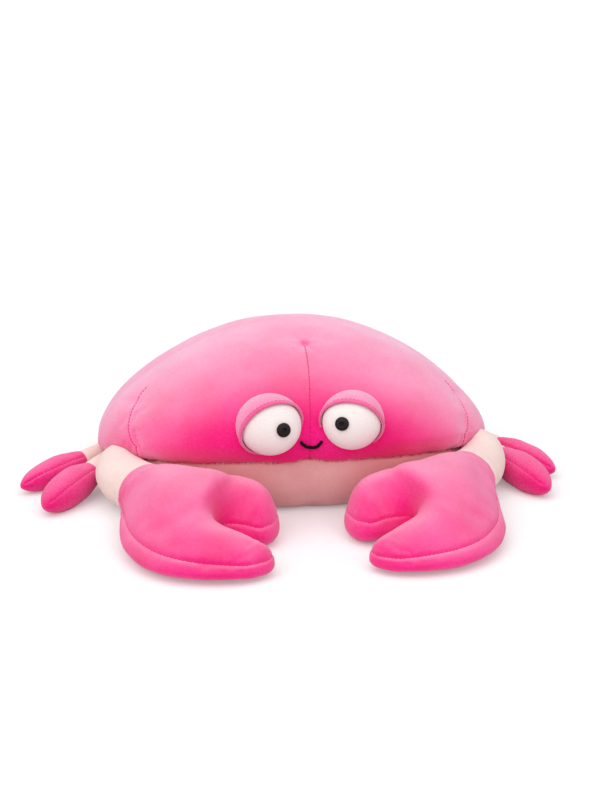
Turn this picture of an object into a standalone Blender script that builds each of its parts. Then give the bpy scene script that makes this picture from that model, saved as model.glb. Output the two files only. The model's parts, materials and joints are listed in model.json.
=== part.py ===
"""A stuffed velour crab that lies on its belly, with its claws in front of it.

Every part is a cover of sewn fabric panels round a fibre filling. The panels of one part are cut from
one closed surface: a panel is its share of that surface with one fabric thickness inside it, and the
filling is the same surface moved in by the fabric. Units are metres. The crab faces -Y, +Z is up, the
origin is the middle of the belly on the floor, and left means -X, the left seen from the front.
"""

import math

import bmesh
import bpy
from mathutils import Matrix, Vector
from mathutils.bvhtree import BVHTree

# Fabric and sewing
FABRIC = 0.0020
SEWN_GAP = 0.0003
FLOOR = 0.0

# Body
BODY_HALF_WIDTH = 0.149
BODY_FRONT = 0.114
BODY_REAR = 0.098
BODY_HEIGHT = 0.115
BODY_PLAN_POWER = 2.25
DOME_POWER = 1.36
SHOULDER_FALL = 0.09
SEAM_HEIGHT_FRONT = 0.044
SEAM_HEIGHT_SIDE = 0.016
BULGE_HEIGHT_FRONT = 0.057
BULGE_HEIGHT_SIDE = 0.023
SEAM_TUCK = 0.008
BELLY_UNDERCUT = 0.58

# Darts in the carapace
FRONT_DART_DEPTH = 0.0035
SIDE_DART_DEPTH = 0.0020
DART_HALF_WIDTH = math.radians(5.0)
# A side dart's turn from the front at the seam, and how far it fans out to the side up the dome
SIDE_DART_TURN = math.radians(59.0)
SIDE_DART_FAN = math.radians(13.0)

# Eyes
EYE_HALF_WIDTH = 0.0215
EYE_HALF_HEIGHT = 0.0204
EYE_HALF_DEPTH = 0.0145
EYE_SPACING = 0.0570
EYE_HEIGHT = 0.0735
EYE_PROUD = 0.006
EYE_LOOK_UP = math.radians(20.0)
EYE_LOOK_OUT = math.radians(7.0)
LID_TILT = math.radians(50)
LID_DROP = 0.0045
LID_ROLL_LEFT = math.radians(35)
LID_ROLL_RIGHT = math.radians(25)
PUPIL_RADIUS = 0.0052
PUPIL_DOME = 0.0028
PUPIL_DIMPLE = 0.0011
PUPIL_INWARD = 0.0080
PUPIL_DOWN = 0.0030
SHANK_RADIUS = 0.0016
SHANK_LENGTH = 0.0085
WASHER_RADIUS = 0.0048
WASHER_THICKNESS = 0.0012
WASHER_SAG = 0.0004

# Mouth
MOUTH_WIDTH = 0.0155
MOUTH_HEIGHT = 0.0585
MOUTH_SAG = 0.0042
THREAD_RADIUS = 0.0009

# Claws and arms
CLAW_LENGTH = 0.110
CLAW_WIDTH = 0.114
CLAW_SEAM_REAR = 0.0175
CLAW_SEAM_FRONT = 0.0120
CLAW_RISE = 0.0390
CLAW_SINK = 0.0200
CLAW_SWELL = 0.0030
SWELL_HEIGHT = 0.0035
# Where the bottom panel hardly swells, its widest line rises to this share of the seam's height
SWELL_HEIGHT_LEAST = 0.6
SWELL_FULL = 0.35
PRESS_GAP = 0.0010
WRIST_FROM_SIDE = 0.029
WRIST_BEHIND_FRONT = 0.023
WRIST_HEIGHT = 0.0210
ARM_RADIUS = 0.0215
ELBOW_OUT = 0.0150
ARM_REACH = 0.0580
ARM_RISE = 0.0110

# Legs
REAR_LEG_RADIUS = 0.0104
FRONT_LEG_RADIUS = 0.0130
LEG_ROOT_HEIGHT = 0.0165
# The height of a leg's tip, as a share of its radius
LEG_TIP_REST = 0.66
LEG_TUCK = 0.0160
SLEEVE_LENGTH = 0.0170
REAR_PAD_LENGTH = 0.0520
FRONT_PAD_LENGTH = 0.0540
# How each leg lies: the turns of its root, its sleeve and its pad, in degrees from straight out at the side
# towards the front, and the part of its sleeve that is sewn into the body. Then its pad's length and radius.
LEG_POSES = {
    "left_rear_leg": (-1, 27, 38, 0.0, REAR_PAD_LENGTH, REAR_LEG_RADIUS),
    "left_front_leg": (9, 38, 60, 0.0, FRONT_PAD_LENGTH, FRONT_LEG_RADIUS),
    "right_rear_leg": (0, 30, 52, 0.3, REAR_PAD_LENGTH, REAR_LEG_RADIUS),
    "right_front_leg": (9, 41, 70, 0.0, FRONT_PAD_LENGTH, FRONT_LEG_RADIUS),
}

# Fineness of the round shapes
COLUMNS_BETWEEN_DARTS = 9
CLAW_ROUNDING = 1
LIMB_SIDES = 10
EYE_SEGMENTS = 18
EYE_RINGS = 10
BEAD_SIDES = 16
MOUTH_POINTS = 9

HOT_PINK, PALE_PINK, LID_PINK, EYE_WHITE, BLACK, CLEAR, FIBRE = (
    "hot_pink_velour", "pale_pink_velour", "lid_pink_velour", "white_velour",
    "black_plastic", "white_plastic", "fibre_filling",
)
FINISHES = {
    HOT_PINK: ((0.90, 0.055, 0.25), 0.9),
    PALE_PINK: ((0.93, 0.68, 0.63), 0.9),
    LID_PINK: ((0.92, 0.30, 0.50), 0.9),
    EYE_WHITE: ((0.90, 0.82, 0.79), 0.9),
    BLACK: ((0.02, 0.018, 0.02), 0.25),
    CLEAR: ((0.85, 0.85, 0.83), 0.4),
    FIBRE: ((0.92, 0.92, 0.90), 1.0),
}


def new_collection(name):
    collection = bpy.data.collections.new(name)
    bpy.context.scene.collection.children.link(collection)
    return collection


def material(name):
    """The Principled material of that name, made the first time that it is asked for."""
    found = bpy.data.materials.get(name)
    if found:
        return found
    colour, roughness = FINISHES[name]
    made = bpy.data.materials.new(name)
    made.use_nodes = True
    shader = made.node_tree.nodes["Principled BSDF"]
    shader.inputs["Base Color"].default_value = (*colour, 1.0)
    shader.inputs["Roughness"].default_value = roughness
    shader.inputs["Metallic"].default_value = 0.0
    return made


def add_object(name, mesh, finish, collection):
    """A smooth-shaded object in the collection, with one material."""
    mesh.materials.clear()
    mesh.materials.append(material(finish))
    mesh.polygons.foreach_set("material_index", [0] * len(mesh.polygons))
    mesh.shade_smooth()
    mesh.set_sharp_from_angle(angle=math.radians(40))
    made = bpy.data.objects.new(name, mesh)
    collection.objects.link(made)
    return made


def as_cutter(made):
    made.hide_render = True
    made.display_type = "WIRE"
    return made


def cut(target, cutter, operation="DIFFERENCE"):
    boolean = target.modifiers.new(f"{operation.lower()} {cutter.name}", "BOOLEAN")
    boolean.operation = operation
    boolean.object = cutter
    boolean.solver = "EXACT"
    return target


def evaluated_mesh(made):
    """The object's mesh with its modifiers applied, in world space."""
    bpy.context.view_layer.update()
    graph = bpy.context.evaluated_depsgraph_get()
    mesh = bpy.data.meshes.new_from_object(made.evaluated_get(graph))
    mesh.transform(made.matrix_world)
    return mesh


def mix(a, b, share):
    return a + (b - a) * share


# Closed surfaces, sewn panels and fillings


def surface_from_rings(rings, panels, start, end):
    """A closed surface through rings of points. panels numbers each cap and band, start cap first."""
    shape = bmesh.new()
    loops = [[shape.verts.new(point) for point in ring] for ring in rings]
    sides = range(len(rings[0]))
    for near, far, panel in zip(loops, loops[1:], panels[1:]):
        for i in sides:
            j = i - 1
            shape.faces.new((near[i], near[j], far[j], far[i])).material_index = panel
    for pole, loop, panel in ((start, loops[0], panels[0]), (end, loops[-1], panels[-1])):
        tip = shape.verts.new(pole)
        for i in sides:
            shape.faces.new((tip, loop[i], loop[i - 1])).material_index = panel
    return finished_surface(shape)


def finished_surface(shape):
    """The mesh of a bmesh, in triangles that face outward."""
    bmesh.ops.recalc_face_normals(shape, faces=shape.faces)
    bmesh.ops.triangulate(shape, faces=shape.faces)
    mesh = bpy.data.meshes.new("surface")
    shape.to_mesh(mesh)
    shape.free()
    return mesh


def settled(mesh):
    """The surface pressed flat where it would reach under the floor."""
    for vertex in mesh.vertices:
        vertex.co.z = max(vertex.co.z, FLOOR)
    return mesh


def mirrored(mesh):
    """A copy of a surface on the other side of the crab."""
    copy = mesh.copy()
    copy.transform(Matrix.Scale(-1, 4, (1, 0, 0)))
    copy.flip_normals()
    return copy


def sewn_panel(name, surface, panel, finish, collection):
    """One fabric panel: its share of the surface, the same a fabric thickness inside, and its edge."""
    shape = bmesh.new()
    shape.from_mesh(surface)
    shape.normal_update()
    inward = {vertex: vertex.normal * -FABRIC for vertex in shape.verts}
    others = [face for face in shape.faces if face.material_index != panel]
    bmesh.ops.delete(shape, geom=others, context="FACES")
    borders = [edge for edge in shape.edges if edge.is_boundary]
    pulls = {vertex: edge_pull(vertex) for edge in borders for vertex in edge.verts}
    for vertex, pull in pulls.items():
        vertex.co += pull
    outer_faces = list(shape.faces)
    lining = {vertex: shape.verts.new(vertex.co + inward[vertex]) for vertex in list(shape.verts)}
    for face in outer_faces:
        shape.faces.new([lining[vertex] for vertex in reversed(face.verts)])
    for edge in borders:
        a, b = edge.verts
        shape.faces.new((a, b, lining[b], lining[a]))
    return add_object(name, finished_surface(shape), finish, collection)


def edge_pull(vertex):
    """Half the sewn gap, from a panel's edge towards the middle of the panel, square to the edge."""
    middle = sum((face.calc_center_median() for face in vertex.link_faces), Vector()) / len(vertex.link_faces)
    ends = [edge.other_vert(vertex).co for edge in vertex.link_edges if edge.is_boundary]
    along = ends[0] - ends[1]
    pull = middle - vertex.co
    pull -= pull.project(along)
    return pull.normalized() * SEWN_GAP / 2


def filling(name, surface, collection):
    """The fibre filling: the whole surface moved in by the fabric."""
    made = add_object(name, surface.copy(), FIBRE, collection)
    return moved_along_normals(made, -(FABRIC + SEWN_GAP), "inside the fabric")


def moved_along_normals(made, distance, label):
    inset = made.modifiers.new(label, "DISPLACE")
    inset.direction = "NORMAL"
    inset.mid_level = 0.0
    inset.strength = distance
    return made


# Body

CARAPACE, BELLY = range(2)
FRONT = math.radians(-90)
# Each dart's turn from the front, its depth, and where it ends, from 0 at the crown to 1 at the widest
SIDE_DART_TOP = 0.62
DARTS = (
    (0.0, FRONT_DART_DEPTH, 0.28),
    (SIDE_DART_TURN, SIDE_DART_DEPTH, SIDE_DART_TOP),
    (math.pi, SIDE_DART_DEPTH, 0.45),
    (-SIDE_DART_TURN, SIDE_DART_DEPTH, SIDE_DART_TOP),
)
DART_FADE = 0.08
FAN_START = SIDE_DART_TOP
FAN_SPREAD = math.radians(20.0)
FRONT_RISE_POWER = 1.6
DOME_SHARES = (0.12, 0.26, 0.40, 0.54, 0.68, 0.84, 1.0)
# The ring of the tuck: its shares of the way from the widest ring in to the seam, and down to it
TUCK_INWARD, TUCK_DOWN = 0.35, 0.55
BELLY_LEVELS = ((0.50, 0.12), (0.17, 0.38), (0.0, 1.0))


def front_share(azimuth):
    """1 at the front of the body, 0 at the sides and the rear."""
    return 1 - (1 - max(0.0, -math.sin(azimuth))) ** FRONT_RISE_POWER


def plan_radius(azimuth):
    """Distance from the middle to the widest outline of the body, in plan."""
    depth = BODY_FRONT if math.sin(azimuth) < 0 else BODY_REAR
    across = abs(math.cos(azimuth)) / BODY_HALF_WIDTH
    along = abs(math.sin(azimuth)) / depth
    return (across**BODY_PLAN_POWER + along**BODY_PLAN_POWER) ** (-1 / BODY_PLAN_POWER)


def dart_inset(turn, share):
    """How far the darts pull the dome in, at a turn from the front."""
    inset = 0.0
    for dart, depth, top in DARTS:
        aside = math.remainder(turn - dart, math.tau)
        along = min(1.0, max(0.0, (share - top) / DART_FADE + 1))
        inset += depth * math.exp(-((aside / DART_HALF_WIDTH) ** 2)) * along
    return inset


def fan(turn, share):
    """How far the columns beside a side dart lean to the side, up the dome."""
    up = min(1.0, (1 - share) / (1 - FAN_START))
    near = math.exp(-(((abs(turn) - SIDE_DART_TURN) / FAN_SPREAD) ** 2))
    return math.copysign(SIDE_DART_FAN * up * near, turn)


def at(azimuth, radius, height):
    return Vector((radius * math.cos(azimuth), radius * math.sin(azimuth), height))


def seam_height(azimuth):
    return mix(SEAM_HEIGHT_SIDE, SEAM_HEIGHT_FRONT, front_share(azimuth))


def seam_radius(azimuth):
    return plan_radius(azimuth) - SEAM_TUCK


def dome_point(turn, share):
    azimuth = FRONT + turn + fan(turn, share)
    bulge = mix(BULGE_HEIGHT_SIDE, BULGE_HEIGHT_FRONT, front_share(azimuth))
    angle = share * math.pi / 2
    inset = dart_inset(turn, share)
    radius = (plan_radius(azimuth) - inset) * math.sin(angle)
    shoulder = DOME_POWER + SHOULDER_FALL * math.cos(azimuth)
    height = bulge + (BODY_HEIGHT - bulge) * max(0.0, math.cos(angle)) ** shoulder
    return at(azimuth, radius, height - inset * math.cos(angle))


def tuck_point(turn):
    """Between the widest ring and the seam, still on the carapace."""
    azimuth = FRONT + turn
    widest = dome_point(turn, 1.0)
    radius = mix(widest.xy.length, seam_radius(azimuth), TUCK_INWARD)
    return at(azimuth, radius, mix(widest.z, seam_height(azimuth), TUCK_DOWN))


def belly_point(turn, level, undercut):
    azimuth = FRONT + turn
    height = seam_height(azimuth)
    return at(azimuth, seam_radius(azimuth) - BELLY_UNDERCUT * height * undercut, height * level)


def body_turns():
    """Turns from the front: even between the darts, with close ones beside each dart."""
    homes = sorted(dart[0] for dart in DARTS)
    found = []
    for start, end in zip([homes[-1] - math.tau] + homes, homes):
        found += [start, start + DART_HALF_WIDTH]
        inner = (end - start - 2 * DART_HALF_WIDTH) / COLUMNS_BETWEEN_DARTS
        found += [start + DART_HALF_WIDTH + inner * i for i in range(1, COLUMNS_BETWEEN_DARTS)]
        found.append(end - DART_HALF_WIDTH)
    return found


def body_surface():
    turns = body_turns()
    rings = [[dome_point(turn, share) for turn in turns] for share in DOME_SHARES]
    rings.append([tuck_point(turn) for turn in turns])
    rings.append([belly_point(turn, 1.0, 0.0) for turn in turns])
    rings += [[belly_point(turn, level, undercut) for turn in turns] for level, undercut in BELLY_LEVELS]
    panels = [CARAPACE] * (len(DOME_SHARES) + 2) + [BELLY] * (len(BELLY_LEVELS) + 1)
    return surface_from_rings(rings, panels, Vector((0, 0, BODY_HEIGHT)), Vector((0, 0, FLOOR)))


def body_envelope(surface, cutters):
    """The body and the gap round it, which trims what is sewn on to it."""
    envelope = as_cutter(add_object("body_envelope", surface.copy(), FIBRE, cutters))
    return moved_along_normals(envelope, SEWN_GAP, "sewn gap")


def make_body(surface, parts):
    sewn_panel("carapace", surface, CARAPACE, HOT_PINK, parts)
    sewn_panel("belly", surface, BELLY, PALE_PINK, parts)
    filling("body_filling", surface, parts)


# Claws, each with its arm

CLAW_TOP, CLAW_BOTTOM, ARM_SLEEVE, ARM_ROOT = range(4)

# Seam outline in shares of the claw's length (inwards) and width (forwards) from the wrist's middle, with the
# share of the full swell that the bottom panel has outside the seam there
CLAW_OUTLINE = {
    "palm_1": (-0.165, 0.36, 0.1), "palm_2": (-0.13, 0.67, 0.4), "palm_3": (0.02, 0.92, 0.8),
    "front_1": (0.28, 1.025, 0.9), "front_2": (0.53, 1.035, 0.9), "front_3": (0.70, 1.00, 0.7),
    "front_tip": (0.81, 0.925, 0.3), "front_4": (0.775, 0.835, 0.2), "front_5": (0.67, 0.745, 0.1),
    "front_6": (0.55, 0.655, 0.1), "notch": (0.385, 0.52, 0.0), "rear_1": (0.56, 0.58, 0.1),
    "rear_2": (0.68, 0.63, 0.1), "rear_3": (0.79, 0.605, 0.3), "rear_tip": (0.88, 0.49, 0.3),
    "rear_4": (0.88, 0.32, 0.3), "rear_5": (0.785, 0.155, 0.2), "rear_6": (0.58, 0.055, 0.1),
    "rear_7": (0.34, -0.03, 0.0),
}
# Crest points inside the outline, with the share of the full rise that they have
CLAW_CREST = {
    "crest_1": (0.07, 0.27, 0.97), "crest_2": (0.15, 0.56, 1.0), "crest_3": (0.36, 0.79, 0.93),
    "crest_4": (0.56, 0.875, 0.68), "crest_5": (0.70, 0.90, 0.45),
    "crest_6": (0.40, 0.27, 0.95), "crest_7": (0.60, 0.345, 1.04), "crest_8": (0.75, 0.40, 0.96),
}
# The crest point that each outline point faces
CLAW_FACING = {
    "palm_1": "crest_1", "palm_2": "crest_2", "palm_3": "crest_3", "front_1": "crest_4", "front_2": "crest_5",
    "front_3": "crest_5", "front_tip": "crest_5", "front_4": "crest_5", "front_5": "crest_5",
    "front_6": "crest_4", "notch": "crest_3", "rear_1": "crest_7", "rear_2": "crest_8", "rear_3": "crest_8",
    "rear_tip": "crest_8", "rear_4": "crest_8", "rear_5": "crest_8", "rear_6": "crest_7", "rear_7": "crest_6",
}
PALM_FACES = (("crest_1", "crest_2", "crest_3", "crest_6"), ("crest_3", "crest_7", "crest_6"))

# Arm stations from the wrist to inside the body: outwards, backwards, upwards and radius, in shares
ARM_STATIONS = (
    (-0.42, -0.09, 0.0, 0.98), (0.62, 0.27, 0.1, 1.0), (0.87, 0.57, 0.4, 1.0), (0.1, 0.86, 0.8, 0.96),
    (-1.7, 1.0, 1.0, 0.9),
)
PALM_MIDDLE = (0.12, 0.36)
RING_TURNS = tuple(math.radians(turn) for turn in (180, 120, 60, 0, -60, -120))


def wrist():
    return Vector((-(BODY_HALF_WIDTH - WRIST_FROM_SIDE), -(BODY_FRONT - WRIST_BEHIND_FRONT), WRIST_HEIGHT))


def claw_seam_height(forward):
    return mix(CLAW_SEAM_REAR, CLAW_SEAM_FRONT, min(1.0, max(0.0, forward)))


def claw_point(along, forward, height):
    middle = wrist()
    return Vector((middle.x + CLAW_LENGTH * along, middle.y - CLAW_WIDTH * forward, height))


def arm_rings():
    """Six-sided rings from the wrist to inside the body, each square to the arm in plan."""
    middles = [
        wrist() + Vector((-ELBOW_OUT * out, ARM_REACH * back, ARM_RISE * up))
        for out, back, up, _ in ARM_STATIONS
    ]
    palm = claw_point(*PALM_MIDDLE, WRIST_HEIGHT)
    rings = []
    for i, middle in enumerate(middles):
        before = middles[i - 1] if i else palm
        after = middles[min(i + 1, len(middles) - 1)]
        ahead = (before - after).xy.normalized()
        radius = ARM_RADIUS * ARM_STATIONS[i][3]
        inner = Vector((-ahead.y, ahead.x, 0)) * radius
        above = Vector((0, 0, radius))
        rings.append([middle + inner * math.cos(turn) + above * math.sin(turn) for turn in RING_TURNS])
    return rings


def swell_ring(cage, seam):
    """The widest points of the bottom panel, by the outline's names: outside the seam and under it."""
    ring = {}
    for name, before, here, after in zip(CLAW_OUTLINE, seam, seam[1:], seam[2:]):
        swell = CLAW_OUTLINE[name][2]
        along = (after.co - before.co).xy.normalized()
        point = here.co + Vector((along.y, -along.x, 0)) * CLAW_SWELL * swell
        point.z = mix(SWELL_HEIGHT_LEAST * here.co.z, SWELL_HEIGHT, min(1.0, swell / SWELL_FULL))
        ring[name] = cage.verts.new(point)
    return ring


def claw_cage():
    """The coarse shape of the left claw and arm, its faces numbered by panel."""
    cage = bmesh.new()
    outline = {
        name: cage.verts.new(claw_point(along, forward, claw_seam_height(forward)))
        for name, (along, forward, _) in CLAW_OUTLINE.items()
    }
    rings = [[cage.verts.new(point) for point in ring] for ring in arm_rings()]
    outer, top_outer, top_inner, inner, low_inner, low_outer = rings[0]
    names = list(CLAW_OUTLINE)
    swell = swell_ring(cage, [outer, *outline.values(), inner])
    for panel, rise, edge, near, far in (
        (CLAW_TOP, CLAW_RISE, outline, top_outer, top_inner),
        (CLAW_BOTTOM, -CLAW_SINK, swell, low_outer, low_inner),
    ):
        crest = {
            name: cage.verts.new(claw_point(along, forward, claw_seam_height(forward) + rise * share))
            for name, (along, forward, share) in CLAW_CREST.items()
        }
        faces = [[crest[name] for name in face] for face in PALM_FACES]
        faces.append([outer, outline["palm_1"], edge["palm_1"], crest["crest_1"], near])
        faces.append([near, crest["crest_1"], crest["crest_6"], far])
        faces.append([far, crest["crest_6"], edge["rear_7"], outline["rear_7"], inner])
        for first, second in zip(names, names[1:]):
            facing = [crest[CLAW_FACING[second]]]
            if CLAW_FACING[first] != CLAW_FACING[second]:
                facing.append(crest[CLAW_FACING[first]])
            faces.append([edge[first], edge[second], *facing])
            faces.append([outline[first], outline[second], edge[second], edge[first]])
        for face in faces:
            corners = list(dict.fromkeys(face))
            if len(corners) > 2:
                cage.faces.new(corners).material_index = panel
    for near, far in zip(rings, rings[1:]):
        for i in range(len(near)):
            cage.faces.new((near[i], near[i - 1], far[i - 1], far[i])).material_index = ARM_SLEEVE
    cage.faces.new(rings[-1]).material_index = ARM_ROOT
    bmesh.ops.recalc_face_normals(cage, faces=cage.faces)
    mesh = bpy.data.meshes.new("claw cage")
    cage.to_mesh(mesh)
    cage.free()
    return mesh


def claw_surface(body):
    """The left claw and arm, rounded from the cage and pressed against the body and the floor."""
    guide = bpy.data.objects.new("claw_guide", claw_cage())
    bpy.context.scene.collection.objects.link(guide)
    rounding = guide.modifiers.new("rounded", "SUBSURF")
    rounding.levels = rounding.render_levels = CLAW_ROUNDING
    shape = bmesh.new()
    shape.from_mesh(evaluated_mesh(guide))
    bpy.data.objects.remove(guide)
    press_off(shape, body)
    return settled(finished_surface(shape))


def press_off(shape, body):
    """Move the claw's own points out of the body, to PRESS_GAP from it."""
    skin = BVHTree.FromPolygons([v.co for v in body.vertices], [p.vertices for p in body.polygons])
    for vertex in shape.verts:
        if any(face.material_index >= ARM_SLEEVE for face in vertex.link_faces):
            continue
        point, normal, _, distance = skin.find_nearest(vertex.co)
        depth = (vertex.co - point).dot(normal)
        if depth < PRESS_GAP:
            vertex.co = point + normal * PRESS_GAP


def make_claws(body, envelope, parts):
    left = claw_surface(body)
    for side, surface in (("left", left), ("right", mirrored(left))):
        sewn_panel(f"{side}_claw_top", surface, CLAW_TOP, HOT_PINK, parts)
        sewn_panel(f"{side}_claw_bottom", surface, CLAW_BOTTOM, HOT_PINK, parts)
        cut(sewn_panel(f"{side}_arm_sleeve", surface, ARM_SLEEVE, PALE_PINK, parts), envelope)
        cut(filling(f"{side}_claw_filling", surface, parts), envelope)


# Legs

LEG_COVER, LEG_SLEEVE, LEG_ROOT = range(3)
# Shares of the way from the body to the tip, and of the pad's radius there
LEG_STATIONS = (
    (0.08, 0.76), (0.40, 0.70), (0.48, 0.83), (0.59, 0.99), (0.72, 1.0), (0.86, 0.82), (0.955, 0.48),
)
LEG_SLEEVE_BANDS = 1
LOOK_AHEAD = 0.05
SLEEVE_DROP = 0.35


def leg_direction(turn):
    """Outwards to the left at 0, and turning forwards."""
    return Vector((-math.cos(turn), -math.sin(turn), 0))


def leg_surface(root_turn, sleeve_turn, pad_turn, sewn_in, pad_length, pad_radius):
    """A stuffed left leg: from inside the body it bends at the end of its sleeve and rests on the floor."""
    root = at(math.pi + root_turn, plan_radius(math.pi + root_turn) - LEG_TUCK, LEG_ROOT_HEIGHT)
    sleeve = LEG_TUCK + SLEEVE_LENGTH * (1 - sewn_in)
    bend = root + leg_direction(sleeve_turn) * sleeve
    tip = bend + leg_direction(pad_turn) * pad_length
    tip.z = LEG_TIP_REST * pad_radius
    bend.z = mix(LEG_ROOT_HEIGHT, tip.z, SLEEVE_DROP)
    rings = []
    for share, girth in LEG_STATIONS:
        middle = leg_path(root, bend, tip, share)
        ahead = (leg_path(root, bend, tip, share + LOOK_AHEAD) - middle).normalized()
        across = ahead.cross(Vector((0, 0, 1))).normalized()
        above = across.cross(ahead)
        radius = pad_radius * girth
        rings.append([
            middle + (across * math.cos(turn) + above * math.sin(turn)) * radius
            for turn in (math.tau * i / LIMB_SIDES for i in range(LIMB_SIDES))
        ])
    covered = len(LEG_STATIONS) - LEG_SLEEVE_BANDS
    panels = [LEG_ROOT] + [LEG_SLEEVE] * LEG_SLEEVE_BANDS + [LEG_COVER] * covered
    return settled(surface_from_rings(rings, panels, leg_path(root, bend, tip, 0.0), tip))


def leg_path(root, bend, tip, share):
    """A point of the leg's middle line, a parabola that the bend pulls out."""
    return root * (1 - share) ** 2 + bend * 2 * share * (1 - share) + tip * share**2


def make_legs(envelope, parts):
    for name, (root_turn, sleeve_turn, pad_turn, *sizes) in LEG_POSES.items():
        turns = [math.radians(turn) for turn in (root_turn, sleeve_turn, pad_turn)]
        surface = leg_surface(*turns, *sizes)
        if name.startswith("right"):
            surface = mirrored(surface)
        sewn_panel(f"{name}_cover", surface, LEG_COVER, HOT_PINK, parts)
        cut(sewn_panel(f"{name}_sleeve", surface, LEG_SLEEVE, PALE_PINK, parts), envelope)
        cut(filling(f"{name}_filling", surface, parts), envelope)


# Eyes


def eye_frame(side, body):
    """The placing of an eye, proud of the body: -Y of the frame is where it looks."""
    skin = BVHTree.FromPolygons([v.co for v in body.vertices], [p.vertices for p in body.polygons])
    start = Vector((side * EYE_SPACING / 2, -2 * BODY_FRONT, EYE_HEIGHT))
    hit = skin.ray_cast(start, Vector((0, 1, 0)))[0]
    middle = hit - Vector((0, EYE_PROUD, 0))
    turn = Matrix.Rotation(side * EYE_LOOK_OUT, 4, "Z") @ Matrix.Rotation(-EYE_LOOK_UP, 4, "X")
    return Matrix.Translation(middle) @ turn


def eyeball(frame):
    """The stuffed white ball: wide, a little less high, and flattened along the way it looks."""
    shape = bmesh.new()
    size = Matrix.Diagonal((EYE_HALF_WIDTH, EYE_HALF_DEPTH, EYE_HALF_HEIGHT, 1))
    pole_ahead = Matrix.Rotation(math.radians(90), 4, "X")
    bmesh.ops.create_uvsphere(
        shape, u_segments=EYE_SEGMENTS, v_segments=EYE_RINGS, radius=1, matrix=pole_ahead
    )
    bmesh.ops.transform(shape, matrix=frame @ size, verts=shape.verts)
    return finished_surface(shape)


def fabric_shell(made, outward):
    shell = made.modifiers.new("fabric", "SOLIDIFY")
    shell.thickness = FABRIC
    shell.offset = 1 if outward else -1
    shell.use_quality_normals = True
    return made


def pupil_frame(frame, side):
    """The placing of a pupil on the eyeball, +Z of the frame straight out of the fabric."""
    x, z = -side * PUPIL_INWARD, -PUPIL_DOWN
    y = -EYE_HALF_DEPTH * math.sqrt(1 - (x / EYE_HALF_WIDTH) ** 2 - (z / EYE_HALF_HEIGHT) ** 2)
    out = Vector((x / EYE_HALF_WIDTH**2, y / EYE_HALF_DEPTH**2, z / EYE_HALF_HEIGHT**2)).normalized()
    return frame @ Matrix.Translation((x, y, z)) @ out.to_track_quat("Z", "Y").to_matrix().to_4x4()


def turned(name, profile, closed, frame, finish, collection):
    """A turned shape: the profile, given as radius and height, swept round the frame's Z axis."""
    mesh = bpy.data.meshes.new(name)
    edges = [(i, i + 1) for i in range(len(profile) - 1)]
    if closed:
        edges.append((len(profile) - 1, 0))
    mesh.from_pydata([(radius, 0, height) for radius, height in profile], edges, [])
    made = add_object(name, mesh, finish, collection)
    made.matrix_world = frame
    sweep = made.modifiers.new("turned", "SCREW")
    sweep.axis = "Z"
    sweep.steps = sweep.render_steps = BEAD_SIDES
    sweep.use_merge_vertices = True
    sweep.merge_threshold = 0.00001
    return made


def cylinder_cutter(name, radius, low, high, frame, cutters):
    """A cylinder along the frame's Z axis, from low to high."""
    shape = bmesh.new()
    placing = frame @ Matrix.Translation((0, 0, (low + high) / 2))
    bmesh.ops.create_cone(
        shape, cap_ends=True, segments=BEAD_SIDES, radius1=radius, radius2=radius,
        depth=high - low, matrix=placing,
    )
    return as_cutter(add_object(name, finished_surface(shape), BLACK, cutters))


def lid_cutter(name, side, frame, cutters):
    """The half of space that a lid covers: above and behind a tilted plane through the eye."""
    roll = LID_ROLL_LEFT if side < 0 else LID_ROLL_RIGHT
    tilt = Matrix.Rotation(side * roll, 4, "Y") @ Matrix.Rotation(-LID_TILT, 4, "X")
    reach = 4 * EYE_HALF_WIDTH
    shape = bmesh.new()
    placing = frame @ tilt @ Matrix.Translation((0, 0, reach / 2 - LID_DROP))
    bmesh.ops.create_cube(shape, size=reach, matrix=placing)
    return as_cutter(add_object(name, finished_surface(shape), LID_PINK, cutters))


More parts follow.
